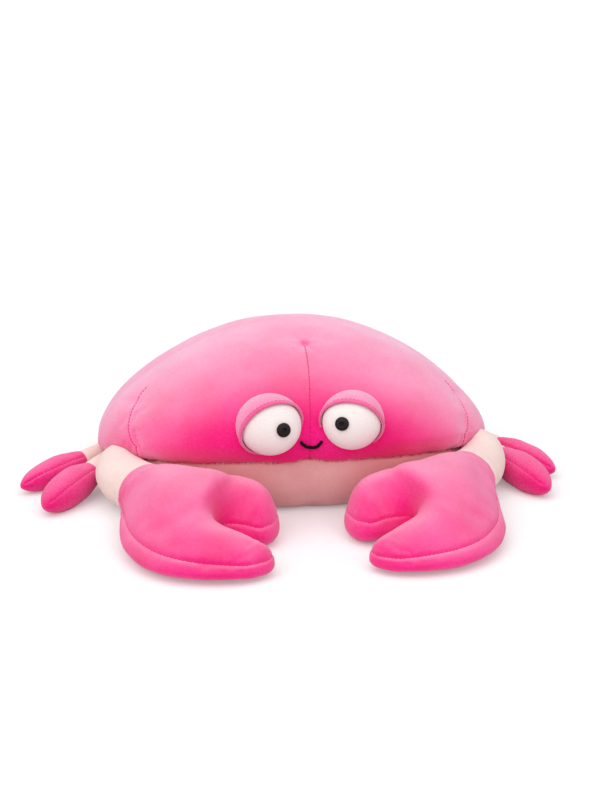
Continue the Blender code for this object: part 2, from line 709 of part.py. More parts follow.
def make_eyes(body, envelope, parts, cutters):
    bead = (
        (0, PUPIL_DOME - PUPIL_DIMPLE), (0.22 * PUPIL_RADIUS, PUPIL_DOME - 0.8 * PUPIL_DIMPLE),
        (0.45 * PUPIL_RADIUS, PUPIL_DOME), (0.78 * PUPIL_RADIUS, 0.78 * PUPIL_DOME),
        (PUPIL_RADIUS, 0.25 * PUPIL_DOME), (0.95 * PUPIL_RADIUS, 0), (SHANK_RADIUS, 0),
        (SHANK_RADIUS, -SHANK_LENGTH), (0, -SHANK_LENGTH),
    )
    hole = SHANK_RADIUS + SEWN_GAP
    seat = -(FABRIC + SEWN_GAP + WASHER_SAG)
    ring = (
        (hole, seat), (WASHER_RADIUS, seat), (WASHER_RADIUS, seat - WASHER_THICKNESS),
        (hole, seat - WASHER_THICKNESS),
    )
    for word, side in (("left", -1), ("right", 1)):
        frame = eye_frame(side, body)
        ball = eyeball(frame)
        on_ball = pupil_frame(frame, side)
        above = PUPIL_DOME + FABRIC
        post_hole = cylinder_cutter(f"{word}_post_hole", hole, -SHANK_LENGTH, above, on_ball, cutters)
        deep = -(SHANK_LENGTH + 2 * SEWN_GAP)
        wide = WASHER_RADIUS + SEWN_GAP
        pocket = cylinder_cutter(f"{word}_washer_pocket", wide, deep, above, on_ball, cutters)
        cover = fabric_shell(add_object(f"{word}_eye_cover", ball.copy(), EYE_WHITE, parts), outward=False)
        cut(cut(cover, envelope), post_hole)
        cut(cut(filling(f"{word}_eye_filling", ball, parts), envelope), pocket)
        lid = add_object(f"{word}_eye_lid", ball.copy(), LID_PINK, parts)
        fabric_shell(moved_along_normals(lid, SEWN_GAP, "on the eye"), outward=True)
        cut(cut(lid, lid_cutter(f"{word}_lid_line", side, frame, cutters), "INTERSECT"), envelope)
        turned(f"{word}_pupil", bead, False, on_ball @ Matrix.Translation((0, 0, SEWN_GAP)), BLACK, parts)
        turned(f"{word}_pupil_washer", ring, True, on_ball, CLEAR, parts)


# Mouth


def make_mouth(body, parts):
    """A smile of black thread that lies on the carapace between the eyes."""
    skin = BVHTree.FromPolygons([v.co for v in body.vertices], [p.vertices for p in body.polygons])
    points = []
    for i in range(MOUTH_POINTS):
        share = 2 * i / (MOUTH_POINTS - 1) - 1
        height = MOUTH_HEIGHT - MOUTH_SAG * (1 - share**2)
        start = Vector((MOUTH_WIDTH / 2 * share, -2 * BODY_FRONT, height))
        hit, normal, _, _ = skin.ray_cast(start, Vector((0, 1, 0)))
        points.append(hit + normal * (THREAD_RADIUS + SEWN_GAP))
    curve = bpy.data.curves.new("mouth", "CURVE")
    curve.dimensions = "3D"
    curve.bevel_depth = THREAD_RADIUS
    curve.bevel_resolution = 2
    curve.use_fill_caps = True
    spline = curve.splines.new("POLY")
    spline.points.add(len(points) - 1)
    for place, point in zip(spline.points, points):
        place.co = (*point, 1)
    curve.materials.append(material(BLACK))
    parts.objects.link(bpy.data.objects.new("mouth", curve))


def main():
    for old in list(bpy.data.objects):
        bpy.data.objects.remove(old)
    parts = new_collection("plush_crab")
    cutters = new_collection("cutters")
    body = body_surface()
    envelope = body_envelope(body, cutters)
    make_body(body, parts)
    make_claws(body, envelope, parts)
    make_legs(envelope, parts)
    make_eyes(body, envelope, parts, cutters)
    make_mouth(body, parts)


main()
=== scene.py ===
import json
import math
import random

import bmesh
import bpy
import numpy as np
from mathutils import Matrix, Vector, noise
from mathutils.bvhtree import BVHTree
from mathutils.kdtree import KDTree

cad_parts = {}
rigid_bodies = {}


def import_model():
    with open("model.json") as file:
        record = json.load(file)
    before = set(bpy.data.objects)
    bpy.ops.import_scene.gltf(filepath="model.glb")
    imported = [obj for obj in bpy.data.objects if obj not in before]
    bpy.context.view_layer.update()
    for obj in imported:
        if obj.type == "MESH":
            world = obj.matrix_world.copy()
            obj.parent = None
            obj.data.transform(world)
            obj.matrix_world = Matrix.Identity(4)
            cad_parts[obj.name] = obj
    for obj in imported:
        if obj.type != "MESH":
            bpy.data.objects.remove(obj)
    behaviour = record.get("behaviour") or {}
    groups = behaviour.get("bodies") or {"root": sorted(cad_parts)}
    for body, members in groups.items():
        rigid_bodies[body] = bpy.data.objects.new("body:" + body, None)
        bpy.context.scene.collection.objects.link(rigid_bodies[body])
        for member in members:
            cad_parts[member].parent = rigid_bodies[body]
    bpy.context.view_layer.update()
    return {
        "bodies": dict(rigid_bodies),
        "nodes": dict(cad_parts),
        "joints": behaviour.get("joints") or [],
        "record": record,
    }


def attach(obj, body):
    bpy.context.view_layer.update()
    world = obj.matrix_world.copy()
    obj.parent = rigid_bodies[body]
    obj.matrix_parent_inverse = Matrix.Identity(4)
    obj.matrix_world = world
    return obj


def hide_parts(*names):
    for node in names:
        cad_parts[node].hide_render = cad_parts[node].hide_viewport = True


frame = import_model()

# The looks of a stuffed velour crab: fine covers, seams, stitches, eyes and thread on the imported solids.
# Metres, the crab faces -Y, +Z is up. Left means -X, the left seen from the front.

SEED = 7
FLOOR = 0.0

# Fabric and sewing
FABRIC = 0.0018
FILLING_INSET = FABRIC + 0.0004
SEWN_GAP = 0.0003
PUCKER = 0.00030
# How far a seam pulls the cover in, half its width, and how far its gathers run out
BODY_SEAM = (0.0009, 0.0013, 0.0060)
CLAW_SEAM = (0.0008, 0.0011, 0.0055)
LEG_COVER_SEAM = (0.0006, 0.0010, 0.0040)
STITCH_PITCH = 0.0028
STITCH_LENGTH = 0.0019
STITCH_ASIDE = 0.00022
FIBRE_RADIUS = 0.00009
FIBRE_DROOP = 0.0007

# Body, as in the solids
BODY_HALF_WIDTH = 0.149
BODY_FRONT = 0.114
BODY_REAR = 0.098
BODY_HEIGHT = 0.115
BODY_PLAN_POWER = 2.25
# How fast the dome falls: near its crown, and low on its sides
CROWN_POWER = 1.62
SIDE_POWER = 1.33
SHOULDER_FALL = 0.09
SEAM_HEIGHT_FRONT = 0.0425
SEAM_HEIGHT_SIDE = 0.016
BULGE_HEIGHT_FRONT = 0.057
BULGE_HEIGHT_SIDE = 0.023
SEAM_TUCK = 0.008
BELLY_UNDERCUT = 0.58
FRONT = math.radians(-90)

# Darts: the side ones' turn from the front at the seam, how far they fan out up the dome, and how wide they are
DART_TURN = math.radians(59)
DART_FAN = math.radians(13)
DART_FAN_SHARE = 0.38
DART_HALF_WIDTH = math.radians(5.0)
FRONT_DART_TOP = 0.24
FRONT_DART_LEAN = math.radians(5.4)
FRONT_PEAK = 0.0030
CREASE_DEPTH = 0.0005
CREASE_HALF_WIDTH = 0.0010
# Each dart's turn from the front, its depth, and its top, from 0 at the crown to 1 at the widest ring
DARTS = {
    "front_dart": (0.0, 0.0011, FRONT_DART_TOP), "right_dart": (DART_TURN, 0.0008, 0.58),
    "rear_dart": (math.pi, 0.0008, 0.45), "left_dart": (math.tau - DART_TURN, 0.0008, 0.58),
}
# The photographed toy is stuffed a little unevenly: its width on the whole, and how much more it loses to the right
BODY_NARROW = 0.974
BODY_LOPSIDED = 0.0135


def mix(a, b, share):
    return a + (b - a) * share


def at(azimuth, radius, height):
    return np.array((radius * math.cos(azimuth), radius * math.sin(azimuth), height))


def bezier(points, share):
    """A point of the cubic curve through four control points."""
    a, b, c, d = points
    rest = 1 - share
    return a * rest**3 + b * 3 * share * rest**2 + c * 3 * share**2 * rest + d * share**3

def eased(share):
    """The share, kept from 0 to 1, with a soft start and end."""
    share = np.clip(share, 0, 1)
    return share * share * (3 - 2 * share)


# Body


def front_share(azimuth):
    """1 at the front of the body, 0 at the sides and the rear."""
    return 1 - (1 - max(0.0, -math.sin(azimuth))) ** 1.6


def plan_radius(azimuth):
    depth = BODY_FRONT if math.sin(azimuth) < 0 else BODY_REAR
    across = abs(math.cos(azimuth)) / BODY_HALF_WIDTH
    along = abs(math.sin(azimuth)) / depth
    return (across**BODY_PLAN_POWER + along**BODY_PLAN_POWER) ** (-1 / BODY_PLAN_POWER)


def seam_height(azimuth):
    """The height of the seam round the body, with the small peak that the front dart pulls up."""
    peak = FRONT_PEAK * math.exp(-((math.remainder(azimuth - FRONT, math.tau) / math.radians(5.5)) ** 2))
    return mix(SEAM_HEIGHT_SIDE, SEAM_HEIGHT_FRONT, front_share(azimuth)) + peak


def bulge_height(azimuth):
    return mix(BULGE_HEIGHT_SIDE, BULGE_HEIGHT_FRONT, front_share(azimuth))


def dart_fan(turn, share):
    """How far the columns near a dart lean aside up the dome: the side darts outward, the front one to the right."""
    turn = math.remainder(turn, math.tau)
    up = min(1.0, (1 - share) / DART_FAN_SHARE)
    near = math.exp(-(((abs(turn) - DART_TURN) / math.radians(20)) ** 2))
    lean = FRONT_DART_LEAN * ((1 - share) / (1 - FRONT_DART_TOP)) ** 2
    lean = min(FRONT_DART_LEAN, lean) * math.exp(-((turn / math.radians(25)) ** 2))
    return math.copysign(DART_FAN * up * near, turn) + lean


def dart_inset(turn, share, radius):
    """How far the darts pull the dome in: a soft valley with a sharp crease along its bottom."""
    inset = 0.0
    for home, depth, top in DARTS.values():
        aside = abs(math.remainder(turn - home, math.tau))
        if aside < 4 * DART_HALF_WIDTH:
            valley = math.exp(-((aside / DART_HALF_WIDTH) ** 2))
            crease = math.exp(-((aside * radius / CREASE_HALF_WIDTH) ** 2))
            inset += eased((share - top) / 0.10 + 0.5) * (depth * valley + CREASE_DEPTH * crease)
    return inset


def dome_point(turn, share):
    azimuth = FRONT + turn + dart_fan(turn, share)
    bulge = bulge_height(azimuth)
    angle = share * math.pi / 2
    outer = plan_radius(azimuth)
    inset = dart_inset(turn, share, outer * math.sin(angle))
    power = mix(CROWN_POWER, SIDE_POWER, eased((share - 0.25) / 0.60)) + SHOULDER_FALL * math.cos(azimuth)
    height = bulge + (BODY_HEIGHT - bulge) * max(0.0, math.cos(angle)) ** power
    return at(azimuth, (outer - inset) * math.sin(angle), height - inset * math.cos(angle))


def tuck_point(turn, share):
    """Under the bulge, from the widest ring at 0 to the seam at 1."""
    azimuth = FRONT + turn
    top, foot = bulge_height(azimuth), seam_height(azimuth)
    outer = plan_radius(azimuth) - dart_inset(turn, 1.0, plan_radius(azimuth)) * (1 - 0.6 * share)
    seam = plan_radius(azimuth) - SEAM_TUCK
    radius, height = bezier(
        np.array(((outer, top), (outer, mix(top, foot, 0.6)), (mix(outer, seam, 0.35), foot + 0.001), (seam, foot))),
        share,
    )
    return at(azimuth, radius, height)


def belly_point(turn, share):
    """From the seam at 0 to the edge of the flat belly on the floor at 1."""
    azimuth = FRONT + turn
    height = seam_height(azimuth)
    seam = plan_radius(azimuth) - SEAM_TUCK
    inner = seam - BELLY_UNDERCUT * height
    radius, up = bezier(
        np.array(((seam, height), (seam - 0.02 * height, 0.55 * height), (mix(seam, inner, 0.35), 0.0), (inner, 0.0))),
        share,
    )
    return at(azimuth, radius, up)


def body_turns():
    """The columns round the body, closer together beside each dart."""
    homes = (0.0, DART_TURN, math.pi, math.tau - DART_TURN, math.tau)
    turns = []
    for start, end in zip(homes, homes[1:]):
        near = math.radians(4)
        close = [start + near * (i / 9) ** 1.5 for i in range(9)]
        middle = list(np.linspace(start + near, end - near, int((end - start) / math.radians(1.35))))
        turns += close + middle + [end - near * (i / 9) ** 1.5 for i in range(8, 0, -1)]
    return turns


TURNS = body_turns()
COLUMNS = len(TURNS)
DOME_ROWS, TUCK_ROWS, BELLY_ROWS, SOLE_ROWS = 74, 12, 18, 5
SEAM_ROW = DOME_ROWS + TUCK_ROWS - 1
# Below 1, the rows of the dome lie closer together down its sides
ROW_POWER = 0.92
CARAPACE, BELLY = 0, 1


def dart_column(home):
    return int(np.argmin([abs(turn - home) for turn in TURNS]))


def dart_row(top):
    return int(top ** (1 / ROW_POWER) * DOME_ROWS)


def bands(rings, columns):
    """The faces between rings of points that follow one another, ring by ring."""
    faces = []
    for near in range(0, (rings - 1) * columns, columns):
        far = near + columns
        for i in range(columns):
            j = (i + 1) % columns
            faces.append((near + i, near + j, far + j, far + i))
    return faces


def fan(first, columns, hub):
    """The faces between a hub and the ring of points that starts at the first."""
    return [(first + i, first + (i + 1) % columns, hub) for i in range(columns)]


def body_surface():
    """The body's closed surface, from its crown down to the flat of its belly."""
    rings = [[dome_point(turn, (i / DOME_ROWS) ** ROW_POWER) for turn in TURNS] for i in range(1, DOME_ROWS + 1)]
    rings += [[tuck_point(turn, i / TUCK_ROWS) for turn in TURNS] for i in range(1, TUCK_ROWS + 1)]
    rings += [[belly_point(turn, i / BELLY_ROWS) for turn in TURNS] for i in range(1, BELLY_ROWS + 1)]
    sole = rings[-1]
    rings += [[point * (1 - i / SOLE_ROWS) for point in sole] for i in range(1, SOLE_ROWS)]
    count = len(rings) * COLUMNS
    points = np.array([point for ring in rings for point in ring] + [(0, 0, BODY_HEIGHT), (0, 0, FLOOR)])
    points[:, 0] *= BODY_NARROW - BODY_LOPSIDED * points[:, 0] / BODY_HALF_WIDTH
    below = bands(len(rings), COLUMNS) + fan(count - COLUMNS, COLUMNS, count + 1)
    faces = fan(0, COLUMNS, count) + [face[::-1] for face in below]
    panels = np.where(np.arange(len(faces)) < (SEAM_ROW + 1) * COLUMNS, CARAPACE, BELLY)
    return Surface(points, faces, panels)


def new_mesh(points, faces):
    made = bpy.data.meshes.new("surface")
    made.from_pydata(points.tolist(), [], faces)
    made.update()
    return made


def points_of(mesh):
    points = np.empty(len(mesh.vertices) * 3)
    mesh.vertices.foreach_get("co", points)
    return points.reshape(-1, 3)


class Surface:
    """A closed surface: its points, its faces, and the number of the panel that each face belongs to."""

    def __init__(self, points, faces, panels):
        self.points = points
        self.faces = faces
        self.panels = panels

    def mesh(self):
        made = new_mesh(self.points, self.faces)
        made.polygons.foreach_set("material_index", self.panels.astype(np.int32))
        return made

    def normals(self):
        made = self.mesh()
        found = np.empty(len(self.points) * 3)
        made.vertex_normals.foreach_get("vector", found)
        bpy.data.meshes.remove(made)
        return found.reshape(-1, 3)

    def swell(self, amount):
        """Moves each point out along its normal by that amount."""
        self.points = self.points + self.normals() * np.reshape(amount, (-1, 1))

    def settle(self):
        """Presses the surface flat where it would reach under the floor."""
        self.points[:, 2] = np.maximum(self.points[:, 2], FLOOR)

    def tree(self):
        return BVHTree.FromPolygons(self.points.tolist(), self.faces)

    def borders(self, first, second):
        """The edges where the two panels meet."""
        owners = edge_owners(self.faces, range(len(self.faces)))
        return [edge for edge, faces in owners.items() if {self.panels[i] for i in faces} == {first, second}]


def sides(face):
    return zip(face, face[1:] + face[:1])


def edge_owners(faces, chosen):
    """The numbers of the chosen faces beside each edge."""
    owners = {}
    for i in chosen:
        for a, b in sides(faces[i]):
            owners.setdefault((min(a, b), max(a, b)), []).append(i)
    return owners


def open_edges(faces):
    """The edges with a face on one side only, in the direction of that face."""
    edges = dict.fromkeys(edge for face in faces for edge in sides(face))
    return [(a, b) for a, b in edges if (b, a) not in edges]


def in_order(edges):
    """The points of a run of edges from end to end, or once round a loop."""
    links = {}
    for a, b in edges:
        links.setdefault(a, []).append(b)
        links.setdefault(b, []).append(a)
    ends = [point for point, others in links.items() if len(others) == 1]
    here = min(ends) if ends else min(links)
    order, seen = [here], {here}
    while True:
        onward = [point for point in links[here] if point not in seen]
        if not onward:
            return order
        here = onward[0]
        order.append(here)
        seen.add(here)


def wobble(points, seed, *layers):
    """Smooth lumps, summed over layers of a size and a height, each with a seed of its own."""
    total = 0.0
    for number, (size, height) in enumerate(layers, seed):
        shift = Vector((number * 13.7, number * 7.3, number * 3.1))
        total = total + np.array([noise.noise(Vector(point) / size + shift) for point in points]) * height
    return total


def search_tree(points):
    tree = KDTree(len(points))
    for i, point in enumerate(points):
        tree.insert(point, i)
    tree.balance()
    return tree


def pull_seams(surface, seams, depth, half_width, reach, seed):
    """Pulls the surface in along its seams, with small gathers that run out from the seam on both sides."""
    line, run = [], []
    travelled = 0.0
    for seam in seams:
        for i, index in enumerate(seam):
            if i:
                travelled += np.linalg.norm(surface.points[index] - surface.points[seam[i - 1]])
            line.append(surface.points[index])
            run.append(travelled)
        travelled += 0.05
    tree = search_tree(line)
    inset = np.zeros(len(surface.points))
    for i, point in enumerate(surface.points):
        _, nearest, distance = tree.find(point)
        if distance > 3 * reach:
            continue
        along = run[nearest]
        gather = noise.noise(Vector((along / 0.0045, seed * 5.3, distance / 0.03)))
        gather += 0.5 * noise.noise(Vector((along / 0.0105, seed * 9.1, distance / 0.05)))
        scallop = 0.12 * depth * math.cos(math.tau * along / STITCH_PITCH)
        fade = math.exp(-((distance / reach) ** 2)) * min(1.0, distance / half_width)
        inset[i] = (depth + scallop) * math.exp(-((distance / half_width) ** 2)) + PUCKER * gather * fade
    surface.swell(-inset)


# Pieces


def placed(name, data, material, stands_for=None):
    """A piece on the root body, with its finish and the solid that it stands for."""
    data.materials.clear()
    data.materials.append(material)
    piece = bpy.data.objects.new(name, data)
    bpy.context.scene.collection.objects.link(piece)
    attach(piece, "root")
    if stands_for:
        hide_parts(stands_for)
    return piece


def smooth_object(name, mesh, material, stands_for):
    mesh.polygons.foreach_set("material_index", [0] * len(mesh.polygons))
    mesh.shade_smooth()
    mesh.set_sharp_from_angle(angle=math.radians(55))
    piece = placed(name, mesh, material, stands_for)
    return piece


def threads(name, lines, radius, material, resolution, stands_for=None):
    """Round threads along lines of points, as one piece."""
    curve = bpy.data.curves.new(name, "CURVE")
    curve.dimensions = "3D"
    curve.bevel_depth = radius
    curve.bevel_resolution = resolution
    curve.use_fill_caps = resolution > 0
    for line in lines:
        spline = curve.splines.new("POLY")
        spline.points.add(len(line) - 1)
        for knot, point in zip(spline.points, line):
            knot.co = (*point, 1)
    placed(name, curve, material, stands_for)


def panel_mesh(surface, panel, thickness=FABRIC):
    """One sewn panel: its faces, the same faces a fabric thickness inside, and the edge between them."""
    faces = [face for face, owner in zip(surface.faces, surface.panels) if owner == panel]
    used = sorted({index for face in faces for index in face})
    place = {index: i for i, index in enumerate(used)}
    count = len(used)
    outer = surface.points[used]
    inner = outer - surface.normals()[used] * thickness
    shown = [tuple(place[index] for index in face) for face in faces]
    hidden = [tuple(index + count for index in reversed(face)) for face in shown]
    rim = [(b, a, a + count, b + count) for a, b in open_edges(shown)]
    return new_mesh(np.concatenate((outer, inner)), shown + hidden + rim)


def stuffing(name, surface):
    """The filling: the whole surface moved in by the fabric."""
    inner = surface.points - surface.normals() * FILLING_INSET
    smooth_object(f"{name}_stuffing", new_mesh(inner, surface.faces), FIBRE, f"{name}_filling")


# Materials


def node(tree, kind, *values, operation="", **sockets):
    """A shader node. The values go to its first inputs in order, the others by name, and an output is linked."""
    made = tree.nodes.new(f"ShaderNode{kind}")
    if operation:
        made.operation = operation
    named = [(made.inputs[name.replace("_", " ")], value) for name, value in sockets.items()]
    for socket, value in [*zip(made.inputs, values), *named]:
        if isinstance(value, bpy.types.NodeSocket):
            tree.links.new(value, socket)
        else:
            socket.default_value = value
    return made


def computed(tree, operation, *values):
    return node(tree, "Math", *values, operation=operation).outputs[0]


def shader(name, colour, roughness, **values):
    made = bpy.data.materials.new(name)
    made.use_nodes = True
    principled = made.node_tree.nodes["Principled BSDF"]
    principled.inputs["Base Color"].default_value = (*colour, 1)
    principled.inputs["Roughness"].default_value = roughness
    for socket, value in values.items():
        principled.inputs[socket.replace("_", " ")].default_value = value
    return made, made.node_tree, principled


def speckle(tree, place, scale, detail, roughness):
    return node(tree, "TexNoise", Vector=place, Scale=scale, Detail=detail, Roughness=roughness).outputs["Fac"]


def diagonal_bands(tree, place, scale, distortion, detail=2):
    made = node(tree, "TexWave", Vector=place, Scale=scale, Distortion=distortion, Detail=detail)
    made.bands_direction = "DIAGONAL"
    return made.outputs["Fac"]


def ramped(tree, factor, low, high, start=0.0, end=1.0, middle=None):
    """The colour between low and high for that factor, through a middle colour where there is one."""
    made = node(tree, "ValToRGB", factor)
    first, last = made.color_ramp.elements
    first.position, first.color = start, (*low, 1)
    last.position, last.color = end, (*high, 1)
    if middle:
        made.color_ramp.elements.new((start + end) / 2).color = (*middle, 1)
    return made.outputs["Color"]


def shaded(colour, factor):
    return [min(1.0, channel * factor) for channel in colour]


def velour(name, tones, sheen, sheen_tint, bump=0.6, painted_sheen=None, sheen_shares=None, sheen_shadow=None, twill=1.0, matted=1.0):
    """Short-pile velour: brushed patches, a fine mottled nap over a twill ground, a soft sheen, and a painted sheen
    and painted top light.

    The tones are the middle, the light and the dark one. The painted sheen is a pale pink mixed into the colour; its
    shares are those for cloth seen edge on, for edge on and facing up, and for facing up. Round the given place it is
    taken away, as painted shade.
    """
    made, tree, principled = shader(
        name, tones[0], 0.9, Sheen_Weight=sheen, Sheen_Roughness=0.42, Sheen_Tint=(*sheen_tint, 1),
        Specular_IOR_Level=0.15,
    )
    place = node(tree, "TexCoord").outputs["Object"]
    normal = node(tree, "NewGeometry").outputs["Normal"]
    brushed = speckle(tree, place, 26, 3, 0.55)
    nap = speckle(tree, place, 480, 4, 0.7)
    pile = speckle(tree, place, 1500, 2, 0.5)
    ribs = diagonal_bands(tree, place, 270, 4.0, 3)
    along = node(tree, "VectorMath", normal, (0.577, 0.577, 0.577), operation="DOT_PRODUCT").outputs["Value"]
    across = computed(tree, "SUBTRACT", 1.0, computed(tree, "POWER", along, 2.0))
    rib = computed(tree, "MULTIPLY", computed(tree, "SUBTRACT", ribs, 0.5), across)
    tone = computed(tree, "MULTIPLY_ADD", brushed, 0.45, 0.5 - 0.225 - 0.5 * (0.34 * matted + 0.15))
    for source, share in ((nap, 0.34 * matted), (rib, 0.07 * twill), (pile, 0.15)):
        tone = computed(tree, "MULTIPLY_ADD", source, share, tone)
    coloured = ramped(tree, tone, tones[2], tones[1], 0.36, 0.64, tones[0])
    # Painted sheen and painted top light: a pale pink mixed into the colour where the cloth is seen edge on and where
    # it faces up
    if painted_sheen:
        amount = painted_sheen_amount(tree, normal, sheen_shares)
        amount = computed(tree, "MULTIPLY", amount, computed(tree, "MULTIPLY_ADD", tone, 1.2, 0.4))
        # Round the given place the painted sheen is taken away: painted shade, as the eyes cast
        if sheen_shadow:
            amount = computed(tree, "MULTIPLY", amount, computed(tree, "SUBTRACT", 1.0, sheen_shadow_mask(tree, place, *sheen_shadow)))
        coloured = blended(tree, amount, coloured, (*painted_sheen, 1))
    tree.links.new(coloured, principled.inputs["Base Color"])
    ground = computed(tree, "ADD", computed(tree, "MULTIPLY", nap, 0.6), computed(tree, "MULTIPLY", pile, 0.5))
    height = computed(tree, "MULTIPLY_ADD", rib, 0.30 * twill, ground)
    raised = node(tree, "Bump", Strength=bump, Distance=0.0007, Height=height)
    tree.links.new(raised.outputs["Normal"], principled.inputs["Normal"])
    return made


def painted_sheen_amount(tree, normal, sheen_shares):
    """How much painted sheen and painted top light go into the colour: where the cloth is seen edge on, and on what
    faces up.
    """
    beside, above, flat = sheen_shares
    facing = node(tree, "LayerWeight", Blend=0.5).outputs["Facing"]
    # Facing up: the painted top light
    upward = computed(tree, "MAXIMUM", node(tree, "SeparateXYZ", normal).outputs["Z"], 0.0)
    edge = computed(tree, "MULTIPLY", facing, computed(tree, "MULTIPLY_ADD", upward, above, beside))
    return computed(tree, "MULTIPLY_ADD", computed(tree, "MULTIPLY", upward, upward), flat, edge)


def sheen_shadow_mask(tree, place, middle, reach, most):
    """From 0 to that most, how much painted shade takes the painted sheen away, round a middle and fading over the
    reach each way.
    """
    apart = node(tree, "VectorMath", place, middle, operation="SUBTRACT").outputs[0]
    share = node(tree, "VectorMath", apart, reach, operation="DIVIDE").outputs[0]
    away = node(tree, "VectorMath", share, operation="LENGTH").outputs["Value"]
    fade = node(tree, "MapRange", Value=away, From_Min=0.15, From_Max=1.0, To_Min=most, To_Max=0.0)
    fade.interpolation_type = "SMOOTHERSTEP"
    return fade.outputs["Result"]


def blended(tree, amount, first, second):
    blend = node(tree, "Mix")
    blend.data_type = "RGBA"
    tree.links.new(amount, blend.inputs["Factor"])
    tree.links.new(first, blend.inputs["A"])
    blend.inputs["B"].default_value = second
    return blend.outputs["Result"]


def stranded(name, colour, twist):
    """Thread: strands that show as fine slanted bands."""
    made, tree, principled = shader(name, colour, 0.8, Specular_IOR_Level=0.06)
    strands = diagonal_bands(tree, node(tree, "TexCoord").outputs["Object"], twist, 2.0)
    coloured = ramped(tree, strands, shaded(colour, 0.6), shaded(colour, 1.25))
    tree.links.new(coloured, principled.inputs["Base Color"])
    return made


def moulded(name, colour, roughness, grain, coat, specular):
    """Moulded plastic: a faint grain in its colour and roughness."""
    made, tree, principled = shader(
        name, colour, roughness, Coat_Weight=coat, Coat_Roughness=0.05, Specular_IOR_Level=specular
    )
    spots = speckle(tree, node(tree, "TexCoord").outputs["Object"], grain, 3, 0.5)
    rough = node(tree, "MapRange", Value=spots, To_Min=roughness * 0.7, To_Max=roughness * 1.5)
    tree.links.new(rough.outputs["Result"], principled.inputs["Roughness"])
    tree.links.new(ramped(tree, spots, shaded(colour, 0.8), shaded(colour, 1.2)), principled.inputs["Base Color"])
    return made


# In each velour the pale pink and its shares are painted sheen and painted top light, beside the Principled sheen
HOT_TONES = ((0.90, 0.008, 0.215), (0.96, 0.030, 0.285), (0.82, 0.002, 0.155))
HOT_SHEEN = (1.0, 0.62, 0.80)
# The carapace's painted sheen is taken away in front round the eyes: painted shade
CARAPACE_PINK = velour(
    "carapace_velour", HOT_TONES, 0.25, HOT_SHEEN, painted_sheen=(1.0, 0.64, 0.80), sheen_shares=(0.67, 0.23, 0.11),
    sheen_shadow=((0.004, -0.118, 0.057), (0.130, 0.085, 0.061), 0.97),
)
HOT_PINK = velour(
    "hot_pink_velour", HOT_TONES, 0.30, HOT_SHEEN, painted_sheen=(1.0, 0.58, 0.76), sheen_shares=(0.28, 0.06, 0.30)
)
LEG_PINK = velour(
    "leg_velour", HOT_TONES, 0.25, HOT_SHEEN, 1.0, painted_sheen=(1.0, 0.55, 0.74), sheen_shares=(0.20, 0.05, 0.14), matted=1.6
)
PALE_PINK = velour(
    "pale_pink_velour", ((0.90, 0.69, 0.63), (0.93, 0.75, 0.69), (0.86, 0.61, 0.55)), 0.3, (1.0, 0.93, 0.92), 0.4,
    painted_sheen=(0.93, 0.81, 0.78), sheen_shares=(0.4, 0.1, 0.1), twill=0.3,
)
# The belly: the pale pink velour made darker and pinker as painted shade under the bulge, with painted pink bounce
# light
SHADED_BELLY_PINK = velour(
    "shaded_belly_velour", ((0.84, 0.45, 0.435), (0.87, 0.51, 0.49), (0.79, 0.39, 0.375)), 0.25, (1.0, 0.90, 0.90), 0.4,
    painted_sheen=(0.88, 0.62, 0.60), sheen_shares=(0.3, 0.1, 0.1), twill=0.5,
)
LID_PINK = velour(
    "lid_pink_velour", ((0.88, 0.20, 0.42), (0.92, 0.27, 0.50), (0.82, 0.13, 0.33)), 0.4, (1.0, 0.75, 0.85),
    painted_sheen=(0.97, 0.62, 0.76), sheen_shares=(0.5, 0.2, 0.1),
)
LID_HEM = velour(
    "lid_hem_velour", ((0.86, 0.085, 0.28), (0.90, 0.13, 0.34), (0.78, 0.05, 0.21)), 0.35, (1.0, 0.75, 0.85),
    painted_sheen=(0.97, 0.55, 0.72), sheen_shares=(0.4, 0.1, 0.1),
)
EYE_WHITE = velour(
    "white_velour", ((0.90, 0.82, 0.80), (0.93, 0.87, 0.85), (0.86, 0.77, 0.75)), 0.2, (1.0, 1.0, 1.0), 0.3, twill=0.0
)
FIBRE = velour(
    "fibre_filling", ((0.86, 0.86, 0.84), (0.90, 0.90, 0.88), (0.78, 0.78, 0.76)), 0.3, (1.0, 1.0, 1.0), 0.8
)
HOT_THREAD = stranded("hot_pink_thread", (0.76, 0.010, 0.17), 900)
LID_THREAD = stranded("lid_thread", (0.80, 0.05, 0.22), 900)
BLACK_THREAD = stranded("black_thread", (0.010, 0.007, 0.009), 700)
BLACK_PLASTIC = moulded("black_plastic", (0.014, 0.009, 0.010), 0.34, 600, 0.02, 0.13)
WHITE_PLASTIC = moulded("white_plastic", (0.80, 0.80, 0.78), 0.5, 400, 0.0, 0.5)


# Stuffing

CLOTH_PRESSURE = 4.0
CLOTH_SHRINK = -0.012
CLOTH_STEPS = 20
BODY_CAP = 0.0014
CLAW_CAP = 0.0018
# Within the crown's radius the body's cloth is held, and its motion fades in over the wider one
CROWN_HELD = 0.035
CROWN_FADE = 0.090


